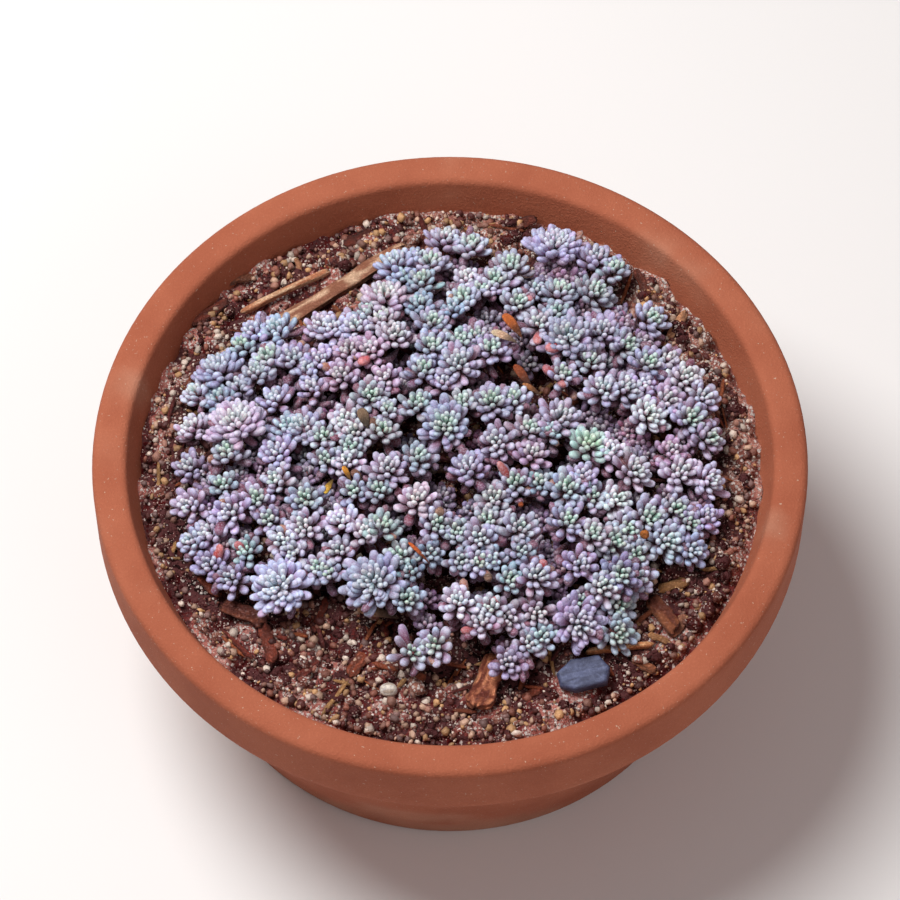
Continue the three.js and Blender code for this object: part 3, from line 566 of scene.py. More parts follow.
class Surface:
    """Wires up one material's nodes."""

    def __init__(self, name):
        self.material = bpy.data.materials.new(name)
        self.material.use_nodes = True
        self.tree = self.material.node_tree
        self.tree.nodes.clear()

    def add(self, kind, inputs, **settings):
        """Adds a node, sets each input or links it to an output, and returns the node's outputs."""
        node = self.tree.nodes.new("ShaderNode" + kind)
        for key, value in settings.items():
            setattr(node, key, value)
        for key, value in inputs.items():
            if isinstance(value, bpy.types.NodeSocket):
                self.tree.links.new(value, node.inputs[key])
            else:
                node.inputs[key].default_value = value
        return node.outputs

    def tint(self):
        return self.add("Attribute", {}, attribute_name="tint")["Color"]

    def texture(self, kind, size, **inputs):
        """A texture whose bumps or cells are about size millimetres wide."""
        place = self.add("TexCoord", {})["Object"]
        return self.add(kind, {"Vector": place, "Scale": 1 / (size * MM), **inputs})

    def ramp(self, value, low, high):
        """0 where value is low, 1 where it is high."""
        inputs = {"Value": value, "From Min": low, "From Max": high}
        return self.add("MapRange", inputs, interpolation_type="SMOOTHSTEP")["Result"]

    def between(self, value, low, high):
        """low where value is 0, high where it is 1."""
        return self.add("MapRange", {"Value": value, "To Min": low, "To Max": high})["Result"]

    def patches(self, size, low, high, detail=3, roughness=0.55):
        """Soft-edged patches: 0 where a noise is below low, 1 where it is above high."""
        return self.ramp(self.texture("TexNoise", size, Detail=detail, Roughness=roughness)["Fac"], low, high)

    def grains(self, size):
        """A random number for each cell, and how near its middle a point is."""
        cells = self.texture("TexVoronoi", size)
        pick = self.add("SeparateColor", {"Color": cells["Color"]})["Red"]
        return pick, self.ramp(cells["Distance"], 0.75, 0.1)

    def blend(self, share, first, second, how="MIX"):
        return self.add("Mix", {0: share, 6: first, 7: second}, data_type="RGBA", blend_type=how)[2]

    def worn(self, mask, color, share, dark):
        """The colour, darkened by a share of dark where the mask is 0."""
        return self.blend(mask, self.blend(share, color, dark, "MULTIPLY"), color)

    def math(self, operation, *values):
        return self.add("Math", dict(enumerate(values)), operation=operation)[0]

    def bump(self, height, depth, strength, **under):
        return self.add("Bump", {"Height": height, "Distance": depth * MM, "Strength": strength, **under})["Normal"]

    def finish(self, **inputs):
        shader = self.add("BsdfPrincipled", {key.replace("_", " "): value for key, value in inputs.items()})
        self.add("OutputMaterial", {"Surface": shader["BSDF"]})
        return self.material


# Heads

def solid_draws(seed, count):
    """The first random numbers, from 0 to 1, that the solids draw for the head with this seed."""
    state = (seed + 1) * RANDOM_SPREAD % RANDOM_RANGE
    draws = []
    for _ in range(count):
        state = (state * RANDOM_FACTOR + RANDOM_STEP) % RANDOM_RANGE
        draws.append(state / RANDOM_RANGE)
    return draws


class Head:
    """A rosette: where its middle is, which way it faces, and the branch that carries it."""

    def __init__(self, place, axis, radius, tones, turn, seed, painted_shade=1):
        self.place, self.axis, self.radius, self.turn = place, axis, radius, turn * FULL_TURN
        self.chance = np.random.default_rng(seed)
        self.across = unit(np.cross((0, 1, 0), axis))
        self.along = np.cross(axis, self.across)
        self.wide = tones.endswith("W")
        tones = tones.rstrip("W")
        shift = self.chance.normal(0, HEAD_TINGE, 3) + self.chance.normal(0, HEAD_LIGHT)
        # Painted shade: a low shoot's body, tip and heart tones are darkened and reddened here.
        self.body, self.tip, self.heart = (
            np.clip(toward(other, lead, LEAD_TONE) + shift, 0, 1) * painted_shade
            for lead, other in zip(TONES[tones[0]], TONES[tones[-1]])
        )
        if "G" in tones:
            self.heart = np.array(TONES["G"][2])

    def attach(self, fork):
        self.branch_length = np.linalg.norm(self.place - fork)
        bend = self.place - self.axis * self.branch_length / 2
        bend[2] = max(bend[2], fork[2])
        self.branch = self.place, bend, fork

    def directions(self, turns):
        return np.cos(turns)[:, None] * self.across + np.sin(turns)[:, None] * self.along


def view_point(right, above, z):
    """The point at height z that looks to be this far right and up from the middle of the view."""
    y = (above - (z - VIEW_HEIGHT) * math.cos(VIEW_ELEVATION)) / math.sin(VIEW_ELEVATION)
    return np.array([right, y, z])


def canopy_point(right, above, rise):
    """The point this far above the even surface of the mat."""
    reach = math.hypot(right, above / math.sin(VIEW_ELEVATION))
    mound = MOUND_RISE * max(0, 1 - (reach / MOUND_RADIUS) ** 2)
    return view_point(right, above, SOIL_TOP + MOUND_EDGE + mound + rise)


def mat_head(index, right, above, radius, tones):
    """A head of the mat, where the solids' rule puts it."""
    right, above, radius = float(right), float(above), float(radius)
    bump, *lean_draws, turn = solid_draws(index, 4)
    place = canopy_point(right, above, MOUND_ROUGHNESS * (2 * bump - 1) + HEAD_LIFT * (radius - USUAL_RADIUS))
    plan = math.hypot(place[0], place[1])
    allowed = min(plan, HEAD_REACH_MAX)
    place[:2] *= allowed / plan
    lean = LEAN_EDGE * (allowed / MOUND_RADIUS) ** 2
    tilt = place[:2] / allowed * math.sin(lean) + LEAN_RANDOM * (2 * np.array(lean_draws) - 1)
    return Head(place, unit(np.array([*tilt, math.cos(lean)])), radius, tones, turn, HEAD_SEED + index)


class Tuft:
    """Heads that share one stem in the soil."""

    def __init__(self, number, heads):
        self.name, self.heads, self.shoots = f"tuft_{number:02d}", heads, []
        x, y, z = np.mean([head.place for head in heads], axis=0)
        self.fork = np.array([x, y, SOIL_TOP + max(FORK_LOW, (z - SOIL_TOP) * FORK_SHARE)])
        for head in heads:
            head.attach(self.fork)


def plant_mat():
    index = itertools.count()
    return [Tuft(number, [mat_head(next(index), *entry.split()) for entry in line.split(",")])
            for number, line in enumerate(TUFTS.strip().splitlines(), 1)]


def add_low_shoots(tufts, places):
    """Small shoots on a loose grid, wherever the heads leave a gap, each on the stem of the nearest tuft."""
    chance = np.random.default_rng(7)
    rows = int(HEAD_REACH_MAX / SHOOT_SPACING) + 1
    for row, column in itertools.product(range(-rows, rows + 1), repeat=2):
        grid = np.array([column + row % 2 / 2, row * math.sqrt(3) / 2]) * SHOOT_SPACING
        spot = grid + chance.uniform(-SHOOT_JITTER, SHOOT_JITTER, 2)
        radius = chance.uniform(*SHOOT_RADIUS)
        tones = str(chance.choice(SHOOT_TONES))
        tilt = chance.normal(0, SHOOT_TILT, 2)
        turn, height = chance.uniform(0, 1, 2)
        gaps = np.linalg.norm(places[:, :2] - spot, axis=1)
        if gaps.min() < SHOOT_NEAREST or np.linalg.norm(spot) > HEAD_REACH_MAX:
            continue
        seen = places[gaps < SHOOT_SIGHT, :2] - spot
        bearings = np.sort(np.arctan2(seen[:, 1], seen[:, 0]))
        if len(seen) < 3 or np.diff(bearings, append=bearings[0] + FULL_TURN).max() > SHOOT_OPEN_SIDE:
            continue
        canopy = places[np.argmin(gaps), 2] - SOIL_TOP
        rise = SHOOT_RISE + (canopy - SHOOT_RISE) * SHOOT_SHARE * (0.6 + 0.8 * height)
        tuft = min(tufts, key=lambda one: np.linalg.norm(one.fork[:2] - spot))
        axis = unit(np.array([*(tilt + SHOOT_OUTWARD * (spot - tuft.fork[:2])), 1]))
        seed = SHOOT_SEED + row * 100 + column
        shoot = Head(np.array([*spot, SOIL_TOP + rise]), axis, radius, tones, turn, seed, SHOOT_SHADE)
        shoot.attach(tuft.fork)
        tuft.shoots.append(shoot)


# Leaves

def leaf_points(base, bend, tip, side, width, thick, rings, sides):
    """Points of plump leaves, each on a curve from base by bend to tip, with how far along and round each lies."""
    share = (1 - np.cos(np.pi * np.arange(1, rings + 1) / (rings + 1))) / 2
    peak = LEAF_NARROW / (LEAF_NARROW + LEAF_BLUNT)
    fullest = peak ** LEAF_NARROW * (1 - peak) ** LEAF_BLUNT
    belly = (share ** LEAF_NARROW * (1 - share) ** LEAF_BLUNT / fullest / 2)[:, None, None]
    ends = base[:, None], bend[:, None], tip[:, None]
    centre, course = curve(*ends, share[:, None])
    up = unit(np.cross(course, side[:, None]))
    across = np.cross(up, course)
    cos, sin = circle(sides)
    flat = sin * np.where(sin > 0, UPPER_FLATNESS, 1)
    width, thick = (part[:, None, None, None] * belly for part in (width, thick))
    ring = centre[:, :, None] + across[:, :, None] * width * cos[:, None] + up[:, :, None] * thick * flat[:, None]
    points = np.concatenate([ends[0], ring.reshape(len(base), -1, 3), ends[2]], axis=1)
    far = np.r_[0, np.repeat(share, sides), 1]
    edge = np.r_[0, np.tile(np.abs(cos), rings), 0]
    under = np.r_[0, np.tile(sin < 0, rings), 0]
    return points, far, edge, under


def leaf_colors(far, edge, under, body, tip, foot):
    """Colour at each point of each leaf: a dark foot, a pale tip and edges, and a duller underside. The dark foot
    and the underside are partly the leaf's own colour and partly painted shade.
    """
    body, tip, foot = (color[:, None] for color in (body, tip, foot))
    far, edge, under = (part[:, None] for part in (far, edge, under * smooth_step(0.95, 0.55, far)))
    pale = TIP_PALENESS * smooth_step(0.58, 1, far) + EDGE_PALENESS * edge ** 3 * smooth_step(0.3, 0.7, far)
    color = toward(foot, body, smooth_step(0.2, 0.68, far))
    color = toward(color, tip, np.clip(pale, 0, TIP_PALENESS))
    return linear(color * toward(1, LEAF_UNDERSIDE, under))


def add_leaves(shape, leaves, rings, sides):
    *form, body, ends, foot = leaves
    points, *lie = leaf_points(*form, rings, sides)
    shape.add(points, leaf_colors(*lie, body, ends, foot), rings, sides)


def rosette(head):
    """The leaves of one head, the youngest first, as arrays for add_leaves."""
    chance, radius, up = head.chance, head.radius, head.axis
    count = round(LEAVES_FEWEST + LEAVES_GROWTH * radius + LEAVES_CROWDING * radius ** 2
                  + DOME_LEAVES * max(0, radius - DOME_RADIUS))
    power = REACH_POWER - REACH_POWER_FALL * max(0, radius - USUAL_RADIUS)
    size = math.sqrt(radius / USUAL_RADIUS)
    order = np.arange(count)
    age = (order + 0.5) / count
    turns = head.turn + GOLDEN_TURN * order + chance.normal(0, TURN_STRAY, count)
    out, side = head.directions(turns), head.directions(turns + math.pi / 2)
    full_reach = (REACH_LEAST + REACH_SHARE * radius) * (WIDE_REACH if head.wide else 1)
    reach = toward(REACH_START, full_reach, age ** power) * (1 + chance.normal(0, REACH_STRAY, count) * age)
    height = CROWN_HEIGHT * size * (1 - CROWN_FALL * age ** CROWN_FALL_POWER) + chance.normal(0, HEIGHT_STRAY, count)
    depth = FOOT_START + FOOT_FALL * age * size
    base = head.place + out * (FOOT_OFFSET * age)[:, None] - up * depth[:, None]
    tip = head.place + out * reach[:, None] + up * height[:, None]
    sag = toward(BUD_SAG, OLD_SAG, age) * np.linalg.norm(tip - base, axis=1)
    bend = (base + tip) / 2 + (out - up) * sag[:, None]
    width = BUD_WIDTH + (WIDTH_GROWTH + WIDTH_BY_RADIUS * radius) * age ** WIDTH_POWER
    width = width * chance.normal(1, WIDTH_STRAY, count) * (1 + (WIDE_WIDTH - 1) * head.wide * age)
    thick = width * toward(BUD_PLUMPNESS, OLD_PLUMPNESS, age)
    light = chance.normal(0, LIGHT_STRAY, (count, 1)) + chance.normal(0, TONE_STRAY, (count, 3))
    young = smooth_step(0.6, 0.1, age)[:, None]
    body = toward(head.body, head.tip, chance.uniform(*LEAF_BLOOM, (count, 1)))
    old = (smooth_step(0.7, 1.05, age) * chance.uniform(0, 1, count) ** 2)[:, None]
    body = toward(toward(body, head.heart, young), OLD_LEAF, old * 0.75)
    ends = toward(toward(head.tip, head.heart * 0.6 + 0.42, young), OLD_LEAF, old * 0.4)
    foot = toward(LEAF_FOOT, head.heart * 0.7, young)
    return base, bend, tip, side, width, thick, body + light, ends + light, foot + light


def branch_point(head, share):
    return curve(*head.branch, share[:, None])


def skirt(head):
    """Old leaves that stand out from the branch below a head."""
    chance = head.chance
    depth = SKIRT_START + SKIRT_STEP * np.arange(SKIRT_LEAVES) + chance.uniform(0, 0.3, SKIRT_LEAVES)
    depth = depth[depth < head.branch_length * 0.9]
    count = len(depth)
    base, course = branch_point(head, depth / head.branch_length)
    turns = head.turn + 1 + GOLDEN_TURN * np.arange(count) + chance.normal(0, 0.3, count)
    out = head.directions(turns)
    out = unit(out - course * np.sum(out * course, axis=1, keepdims=True))
    length = SKIRT_LENGTH * math.sqrt(head.radius / USUAL_RADIUS) * chance.uniform(*SKIRT_LENGTH_SPREAD, count)
    droop = chance.normal(*SKIRT_DROOP, count)
    tip = base + out * length[:, None] - course * (length * droop)[:, None]
    tip[:, 2] = np.clip(tip[:, 2], SOIL_TOP + SKIRT_CLEARANCE, head.place[2] - SKIRT_BELOW_HEAD)
    plan = np.hypot(tip[:, 0], tip[:, 1])
    room = inner_radius(tip[:, 2]) - SKIRT_CLEARANCE
    tip[:, :2] *= (np.minimum(plan, room) / plan)[:, None]
    length = np.linalg.norm(tip - base, axis=1)
    bend = (base + tip) / 2 + (0.12 * out + 0.1 * course) * length[:, None]
    width = np.minimum(SKIRT_WIDTH, SKIRT_STUMPINESS * length) * chance.uniform(*SKIRT_WIDTH_SPREAD, count)
    dry = (chance.uniform(0, 1, count) > SKIRT_FRESH_SHARE)[:, None]
    # Painted shade: skirt leaves are dulled, and darken further towards the shade tone the deeper they sit below the
    # head.
    body = toward(head.body * 0.9, SHADE_LEAF, smooth_step(2, 6, depth)[:, None])
    body = toward(body, np.array(OLD_LEAF) * 0.85, chance.uniform(0, 0.7, (count, 1)))
    body = np.where(dry, DRY_LEAF, body)
    foot = np.broadcast_to(np.array(LEAF_FOOT) * 0.8, body.shape)
    return base, bend, tip, np.cross(out, -course), width, width * OLD_PLUMPNESS, body, body * 1.12, foot


def inner_radius(height):
    """The pan's inner radius at this height."""
    share = (height - FLOOR_THICKNESS) / (PAN_HEIGHT - FLOOR_THICKNESS)
    return toward(PAN_BASE_RADIUS - WALL_THICKNESS, RIM_RADIUS - RIM_THICKNESS, share)


def add_tube(shape, centres, radii, colors):
    """A closed round bar through the centres, wavy where its radii are."""
    course = unit(np.gradient(centres, axis=0))
    helper = np.where(np.abs(course[:, 2:]) < 0.9, (0, 0, 1), (1, 0, 0))
    across = unit(np.cross(helper, course))
    up = np.cross(course, across)
    cos, sin = circle(STEM_SIDES)
    ring = across[:, None] * cos[:, None] + up[:, None] * sin[:, None]
    ring = (centres[:, None] + radii[:, None, None] * ring)[1:-1]
    points = np.concatenate([centres[:1], ring.reshape(-1, 3), centres[-1:]])
    spread = np.repeat(np.arange(STEM_RINGS), [1] + [STEM_SIDES] * (STEM_RINGS - 2) + [1])
    shape.add(points, colors[spread], STEM_RINGS - 2, STEM_SIDES)


def stems(tuft):
    """The branches of the tuft's heads and shoots, and its post in the soil."""
    shape = Shape()
    young, old = linear(STEM_YOUNG), linear(STEM_OLD)
    share = np.linspace(0, 1, STEM_RINGS)
    for head in tuft.heads + tuft.shoots:
        slim = SHOOT_SLIMNESS if head in tuft.shoots else 1
        radii = slim * STEM_RADIUS * (0.8 + 0.35 * share + 0.08 * head.chance.normal(0, 1, STEM_RINGS))
        colors = toward(young, old, smooth_step(0.1, 0.8, share)[:, None])
        add_tube(shape, branch_point(head, share)[0], radii, colors)
    foot = np.array([*tuft.fork[:2], SOIL_TOP - POST_DEPTH])
    post = toward(foot, tuft.fork + (0, 0, 0.9), share[:, None])
    add_tube(shape, post, np.full(STEM_RINGS, STEM_FOOT_RADIUS), np.tile(old, (STEM_RINGS, 1)))
    return shape


def joined(parts):
    return [np.concatenate(values) for values in zip(*parts)]


def make_tuft(tuft, leaf, stem):
    hearts, outer, skirts = [], [], []
    for head in tuft.heads + tuft.shoots:
        leaves = rosette(head)
        is_shoot = head in tuft.shoots
        cut = len(leaves[0]) if is_shoot else round(len(leaves[0]) * HEART_SHARE)
        hearts.append([part[:cut] for part in leaves])
        if not is_shoot:
            outer.append([part[cut:] for part in leaves])
            skirts.append(skirt(head))
    shape = Shape()
    add_leaves(shape, joined(hearts + skirts), HEART_RINGS, HEART_SIDES)
    add_leaves(shape, joined(outer), LEAF_RINGS, LEAF_SIDES)
    shape.make(tuft.name + "_leaves", leaf, "leaves", [tuft.name])
    stems(tuft).make(tuft.name + "_stems", stem, "stems")


# Soil

def clods(points):
    """Height that the soil's clods add, above 0 on a clod and below 0 between clods."""
    return CLOD_HEIGHT * rough(points * (1, 1, 0), CLOD_WIDTH, 11, 3)


def middle_of(node):
    return np.mean(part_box(node), axis=0) / MM


def under_litter(points):
    """1 under a piece of litter, falling to 0 a little way off it."""
    share = np.zeros(points.shape[:-1])
    for name, (length, width, _), turn, *_ in [*LITTER, SLATE, PEBBLE]:
        offset, turn = points[..., :2] - middle_of(name)[:2], math.radians(turn)
        along = np.abs(offset @ (math.cos(turn), math.sin(turn))) - length / 2
        across = np.abs(offset @ (-math.sin(turn), math.cos(turn))) - width / 2
        away = np.hypot(np.maximum(along, 0), np.maximum(across, 0))
        share = np.maximum(share, smooth_step(LITTER_MARGIN, 0, away))
    return share


def soil_height(points):
    """Height of the soil's surface: the waves of the solid's low relief, with clods and finer crumbs on them."""
    x, y = points[..., 0], points[..., 1]
    swell = SWELL_SHARE * np.sin(0.21 * x + 0.8) * np.cos(0.18 * y - 0.5)
    ripple = RIPPLE_SHARE * np.sin(0.47 * x - 0.33 * y + 1.9)
    bumps = clods(points) + BUMP_HEIGHT * rough(points * (1, 1, 0), BUMP_WIDTH, 12, 2)
    return SOIL_TOP + SOIL_RELIEF * (swell + ripple) + bumps - np.maximum(bumps, 0) * under_litter(points)


def under_heads(points, heads):
    """1 well under the mat, falling to 0 on open soil."""
    gap = np.linalg.norm(points[:, None, :2] - heads[:, :2], axis=2).min(axis=1)
    return smooth_step(MAT_SHADE_FAR, MAT_SHADE_NEAR, gap)


def make_soil(skin, heads):
    cos, sin = circle(SOIL_SIDES)
    bottom = FLOOR_THICKNESS + SOIL_FIT
    wall = np.linspace(bottom, SOIL_TOP - SOIL_EDGE_DIP, 6)
    edge = inner_radius(SOIL_TOP) - SOIL_FIT
    rows = [(SOIL_MIDDLE, bottom), *((inner_radius(height) - SOIL_FIT, height) for height in wall)]
    rows += [(radius, None) for radius in np.linspace(edge, 0, SOIL_TOP_RINGS + 1)[:-1]]
    rings = []
    for radius, height in rows:
        ring = np.column_stack([radius * cos, radius * sin, np.zeros(SOIL_SIDES)])
        if height is None:
            height = soil_height(ring) - SOIL_EDGE_DIP * smooth_step(edge - 5, edge, radius)
        ring[:, 2] = height
        rings.append(ring)
    points = np.concatenate([[[0, 0, bottom]], *rings, [[0, 0, soil_height(np.zeros(3))]]])
    raised = smooth_step(-0.6, 0.9, clods(points) + 0.5 * rough(points, 7, 21, 2))[:, None]
    grain = smooth_step(0.1, 1.1, rough(points, 1.1, 22, 2))[:, None]
    # The soil turns paler and tanner towards the back right.
    dry = smooth_step(BACK_RIGHT_START, BACK_RIGHT_FULL, points[:, 0] + points[:, 1])[:, None]
    # The soil is darker in the hollows between its clods: partly its own darker earth, partly painted shade.
    color = toward(SOIL_HOLLOW, SOIL_CLOD, raised)
    color = toward(color, SOIL_PALE, grain * 0.8 * raised)
    color = toward(color, SOIL_BACK_RIGHT, dry * 0.6)
    # Painted shade: the soil is darkened under the mat, most where heads stand close.
    color = color * (1 - 0.6 * under_heads(points, heads)[:, None])
    shape = Shape()
    shape.add(points, linear(color), len(rings), SOIL_SIDES)
    shape.make("soil_surface", skin, "soil", ["soil"])


def ball_points(rings, sides):
    """Points of a unit ball, end point first, in spindle_faces' order."""
    polar = (np.pi * np.arange(1, rings + 1) / (rings + 1))[:, None]
    cos, sin = circle(sides)
    ring = np.stack([np.sin(polar) * cos, np.sin(polar) * sin, -np.cos(polar) * np.ones(sides)], axis=-1)
    return np.concatenate([[[0, 0, -1]], ring.reshape(-1, 3), [[0, 0, 1]]])


def random_turns(chance, count):
    """Random rotations, as rows of three unit vectors."""
    first = unit(chance.normal(0, 1, (count, 3)))
    second = unit(np.cross(first, chance.normal(0, 1, (count, 3))))
    return np.stack([first, second, np.cross(first, second)], axis=1)


def scatter(chance, count, rim_gap):
    """Places on the soil, with about as many on each patch of it."""
    radius = (inner_radius(SOIL_TOP) - rim_gap) * np.sqrt(chance.uniform(0, 1, count))
    turn = chance.uniform(0, FULL_TURN, count)
    return np.column_stack([radius * np.cos(turn), radius * np.sin(turn), np.zeros(count)])


def make_grains(chance, heads, name, skin, count, rim_gap, sizes, rings, sides, sunk, lumpy, tones):
    """Grains: more on the soil's clods than between, few under the mat and none on the litter."""
    places = scatter(chance, 2 * count, rim_gap)
    rank = chance.normal(0, 1, 2 * count) - clods(places)
    rank = rank + LITTER_AVOIDANCE * under_litter(places) + MAT_AVOIDANCE * under_heads(places, heads)
    places = places[np.argsort(rank)[:count]]
    size = toward(*sizes, chance.uniform(0, 1, count) ** GRAIN_FINENESS)
    points = ball_points(rings, sides) * chance.uniform(*GRAIN_SQUASH, (count, 1, 3)) * size[:, None, None]
    points = points * (1 + lumpy * chance.uniform(-1, 1, (count, points.shape[1], 1)))
    points = np.einsum("npi,nij->npj", points, random_turns(chance, count))
    places[:, 2] = soil_height(places) + size * (0.6 - sunk)
    pick = chance.integers(0, len(tones), count)
    colors = linear(np.array(tones)[pick] * chance.uniform(*GRAIN_LIGHT, (count, 1)))
    shape = Shape()
    shape.add(points + places[:, None], colors[:, None], rings, sides)
    shape.make(name, skin, "soil")


# Litter

def bar_points(form, size, seed):
    """A split piece of wood or bark along X: its edges wander, its faces are fibrous, its ends ragged."""
    rings, sides, ragged, fibre, blunt, bow = form
    length, width, thick = size
    chance = np.random.default_rng(seed)
    share = np.linspace(-1, 1, rings)[:, None]
    cos, sin = circle(sides)
    ridges = np.maximum(np.abs(cos), np.abs(sin)) ** -0.75 * (1 + fibre * chance.uniform(-1, 1, sides))
    taper = 0.25 + 0.75 * np.clip(1 - np.abs(share) ** blunt, 0, 1) ** 0.5
    along, still = share * length / 2, np.zeros((rings, 1))
    drift = rough(np.hstack([along, still + seed, still]), length / 4, seed, 2)[:, None]
    swell = 1 + 0.18 * rough(np.hstack([along, still, still + seed]), length / 3, seed + 1, 2)[:, None]
    points = np.stack([
        along + ragged * chance.uniform(-1, 1, sides) * np.abs(share) ** 6,
        width / 2 * taper * swell * cos * ridges + drift * width * 0.1,
        thick / 2 * taper * sin * ridges + bow * (1 - share ** 2),
    ], axis=-1)
    points[..., 2] += fibre * 0.25 * thick * rough(points * (0.35, 1.6, 1.6), 0.8, seed + 2, 2)
    ends = points[0].mean(0) - (0.1, 0, 0), points[-1].mean(0) + (0.1, 0, 0)
    return np.concatenate([ends[:1], points.reshape(-1, 3), ends[1:]])


def lay(points, middle, turn, pitch=0):
    """Tips points made along X up by the pitch, turns them about Z, and puts them at the middle."""
    flat, rise = math.cos(pitch), math.sin(pitch)
    cos, sin = math.cos(turn), math.sin(turn)
    tipped = points @ np.array([[flat, 0, rise], [0, 1, 0], [-rise, 0, flat]])
    return tipped @ np.array([[cos, sin, 0], [-sin, cos, 0], [0, 0, 1]]) + middle


def streaks(points, tones, seed):
    """Streaky colours along a piece's own length."""
    grain = rough(points * (0.18, 1.5, 1.5), 0.7, seed, 3)
    return linear(toward(*tones, smooth_step(-0.4, 0.5, grain)[:, None]))


def add_bar(shape, form, size, place, turn, tones, seeds, pitch=0):
    own = bar_points(form, size, seeds[0])
    shape.add(lay(own, place, turn, pitch), streaks(own, tones, seeds[1]), form.rings, form.sides)


def add_stone(shape, size, place, tones, rings, sides, lumpy, lump_size, seeds):
    ball = ball_points(rings, sides)
    own = ball * size / 2 * (1 + lumpy * rough(ball, lump_size, seeds[0], 2))[:, None]
    shape.add(own + place, streaks(own, tones, seeds[1]), rings, sides)


def make_litter(skin):
    for seed, (name, size, turn, slot, form, tones) in enumerate(LITTER, 200):
        shape = Shape()
        add_bar(shape, form, size, middle_of(name), math.radians(turn), tones, (seed, seed))
        shape.make(name + "_shape", skin, slot, [name])


def make_slate(skin):
    """A flat split stone: its corners rounded a little, its top stepped where thin layers have come away."""
    name, size, turn = SLATE
    corners = np.array(SLATE_CORNERS) * size[:2] / 2
    after = np.roll(corners, -1, axis=0)
    outline = toward(corners[:, None], after[:, None], np.linspace(0, 1, 6, endpoint=False)[:, None]).reshape(-1, 2)
    half, sides = size[2] / 2, len(outline)
    rings = []
    for share, level in SLATE_ROWS:
        ring = np.column_stack([outline * share, np.full(sides, half * level)])
        layer = 0.16 * (rough(ring * (0.6, 1, 0), 5, 5) > 0.05) + 0.04 * rough(ring, 2.5, 6, 2)
        ring[:, 2] += layer * (level > 0)
        ring[:, :2] *= 1 + 0.02 * rough(ring, 0.8, 7)[:, None]
        rings.append(ring)
    points = np.concatenate([[[0, 0, -half]], *rings, [[0, 0, rings[-1][:, 2].mean()]]])
    shape = Shape()
    colors = streaks(points * (1, 1, 3), SLATE_TONES, 8)
    shape.add(lay(points, middle_of(name), math.radians(turn)), colors, len(rings), sides)
    shape.make(name + "_shape", skin, "slate", [name], smooth=False)


def make_pebble(skin):
    name, size, _ = PEBBLE
    shape = Shape()
    add_stone(shape, size, middle_of(name), PEBBLE_TONES, 18, 28, 0.07, 0.9, (9, 10))
    shape.make(name + "_shape", skin, "pebble", [name])


def make_splinters(skin):
    """Thin bits of stem, needle and bark on the soil."""
    chance = np.random.default_rng(41)
    shape = Shape()
    for number, place in enumerate(scatter(chance, SPLINTER_COUNT, 4)):
        length = SPLINTER_SHORTEST + SPLINTER_STRETCH * chance.uniform() ** 2
        width = chance.uniform(*SPLINTER_WIDTH)
        turn, pitch = chance.uniform(0, FULL_TURN), chance.normal(0, SPLINTER_TILT)
        if math.hypot(place[0], place[1]) + length / 2 > inner_radius(SOIL_TOP) - 2:
            turn = math.atan2(place[1], place[0]) + math.pi / 2
        place[2] = soil_height(place) + width * 0.7
        tone = np.array(SPLINTER_TONES[chance.integers(len(SPLINTER_TONES))])
        size, seeds = (length, width, width * SPLINTER_FLATNESS), (60 + number, 70 + number)
        add_bar(shape, SPLINTER, size, place, turn, (tone * 0.75, tone), seeds, pitch)
    shape.make("soil_splinters", skin, "bark")


def make_loose_bits(skin):
    """Straws and flakes of bark that lie on the soil round the mat."""
    shape = Shape()
    for number, (start, end, width, thick, tone) in enumerate(LOOSE_BITS):
        start, end = (view_point(*place, SOIL_TOP + 0.7) for place in (start, end))
        middle, (x, y, _) = (start + end) / 2, end - start
        middle[2] = soil_height(middle) + thick * 0.4
        size, tones = (math.hypot(x, y), width, thick), (np.array(tone) * 0.68, tone)
        add_bar(shape, LOOSE_BIT, size, middle, math.atan2(y, x), tones, (300 + number, 330 + number))
    shape.make("loose_bits", skin, "bark")


# Things that lie on the leaves

def make_leaf_group(name, skin, slot, parts, rings, sides):
    shape = Shape()
    add_leaves(shape, [np.array(values) for values in zip(*parts)], rings, sides)
    shape.make(name, skin, slot)


def make_red_leaves(skin, mat):
    """Leaves that have gone red, each on the branch of the head nearest to it."""
    chance = np.random.default_rng(51)
    parts = []
    for right, above, width, tone in RED_LEAVES:
        tip = canopy_point(right, above, 0.6)
        head = min((head for tuft in mat for head in tuft.heads), key=lambda one: np.linalg.norm(one.place - tip))
        base = head.place - head.axis * 2.4
        side = unit(np.cross(head.axis, tip - base))
        bend = (base + tip) / 2 - head.axis * 0.4
        tone = tone + chance.normal(0, 0.015, 3)
        parts.append((base, bend, tip, side, width, width * 0.8, tone, tone * 0.6 + 0.32, tone * 0.6))
    make_leaf_group("red_leaves", skin, "leaves", parts, 9, 12)


def make_dry_bits(skin):
    parts = []
    for start, end, rise, width, thick, tone in DRY_BITS:
        end, start = (canopy_point(*place, rise) for place in (start, end))
        side = unit(np.cross((0, 0, 1), end - start))
        bend = (start + end) / 2 + (0, 0, DRY_CURL * np.linalg.norm(end - start))
        tone = np.array(tone)
        parts.append((start, bend, end, side, width, thick, tone, tone * 1.12, tone * 0.5))
    make_leaf_group("dry_bits", skin, "straw", parts, 14, 12)


def make_caught_crumbs(skin):
    shape = Shape()
    for number, (right, above, rise, size, tone) in enumerate(CAUGHT_CRUMBS):
        tones, seeds = (np.array(tone) * 0.75, tone), (500 + number, 510 + number)
        add_stone(shape, size, canopy_point(right, above, rise), tones, 10, 16, 0.12, 0.7, seeds)
    shape.make("caught_crumbs", skin, "bark")


# Pan

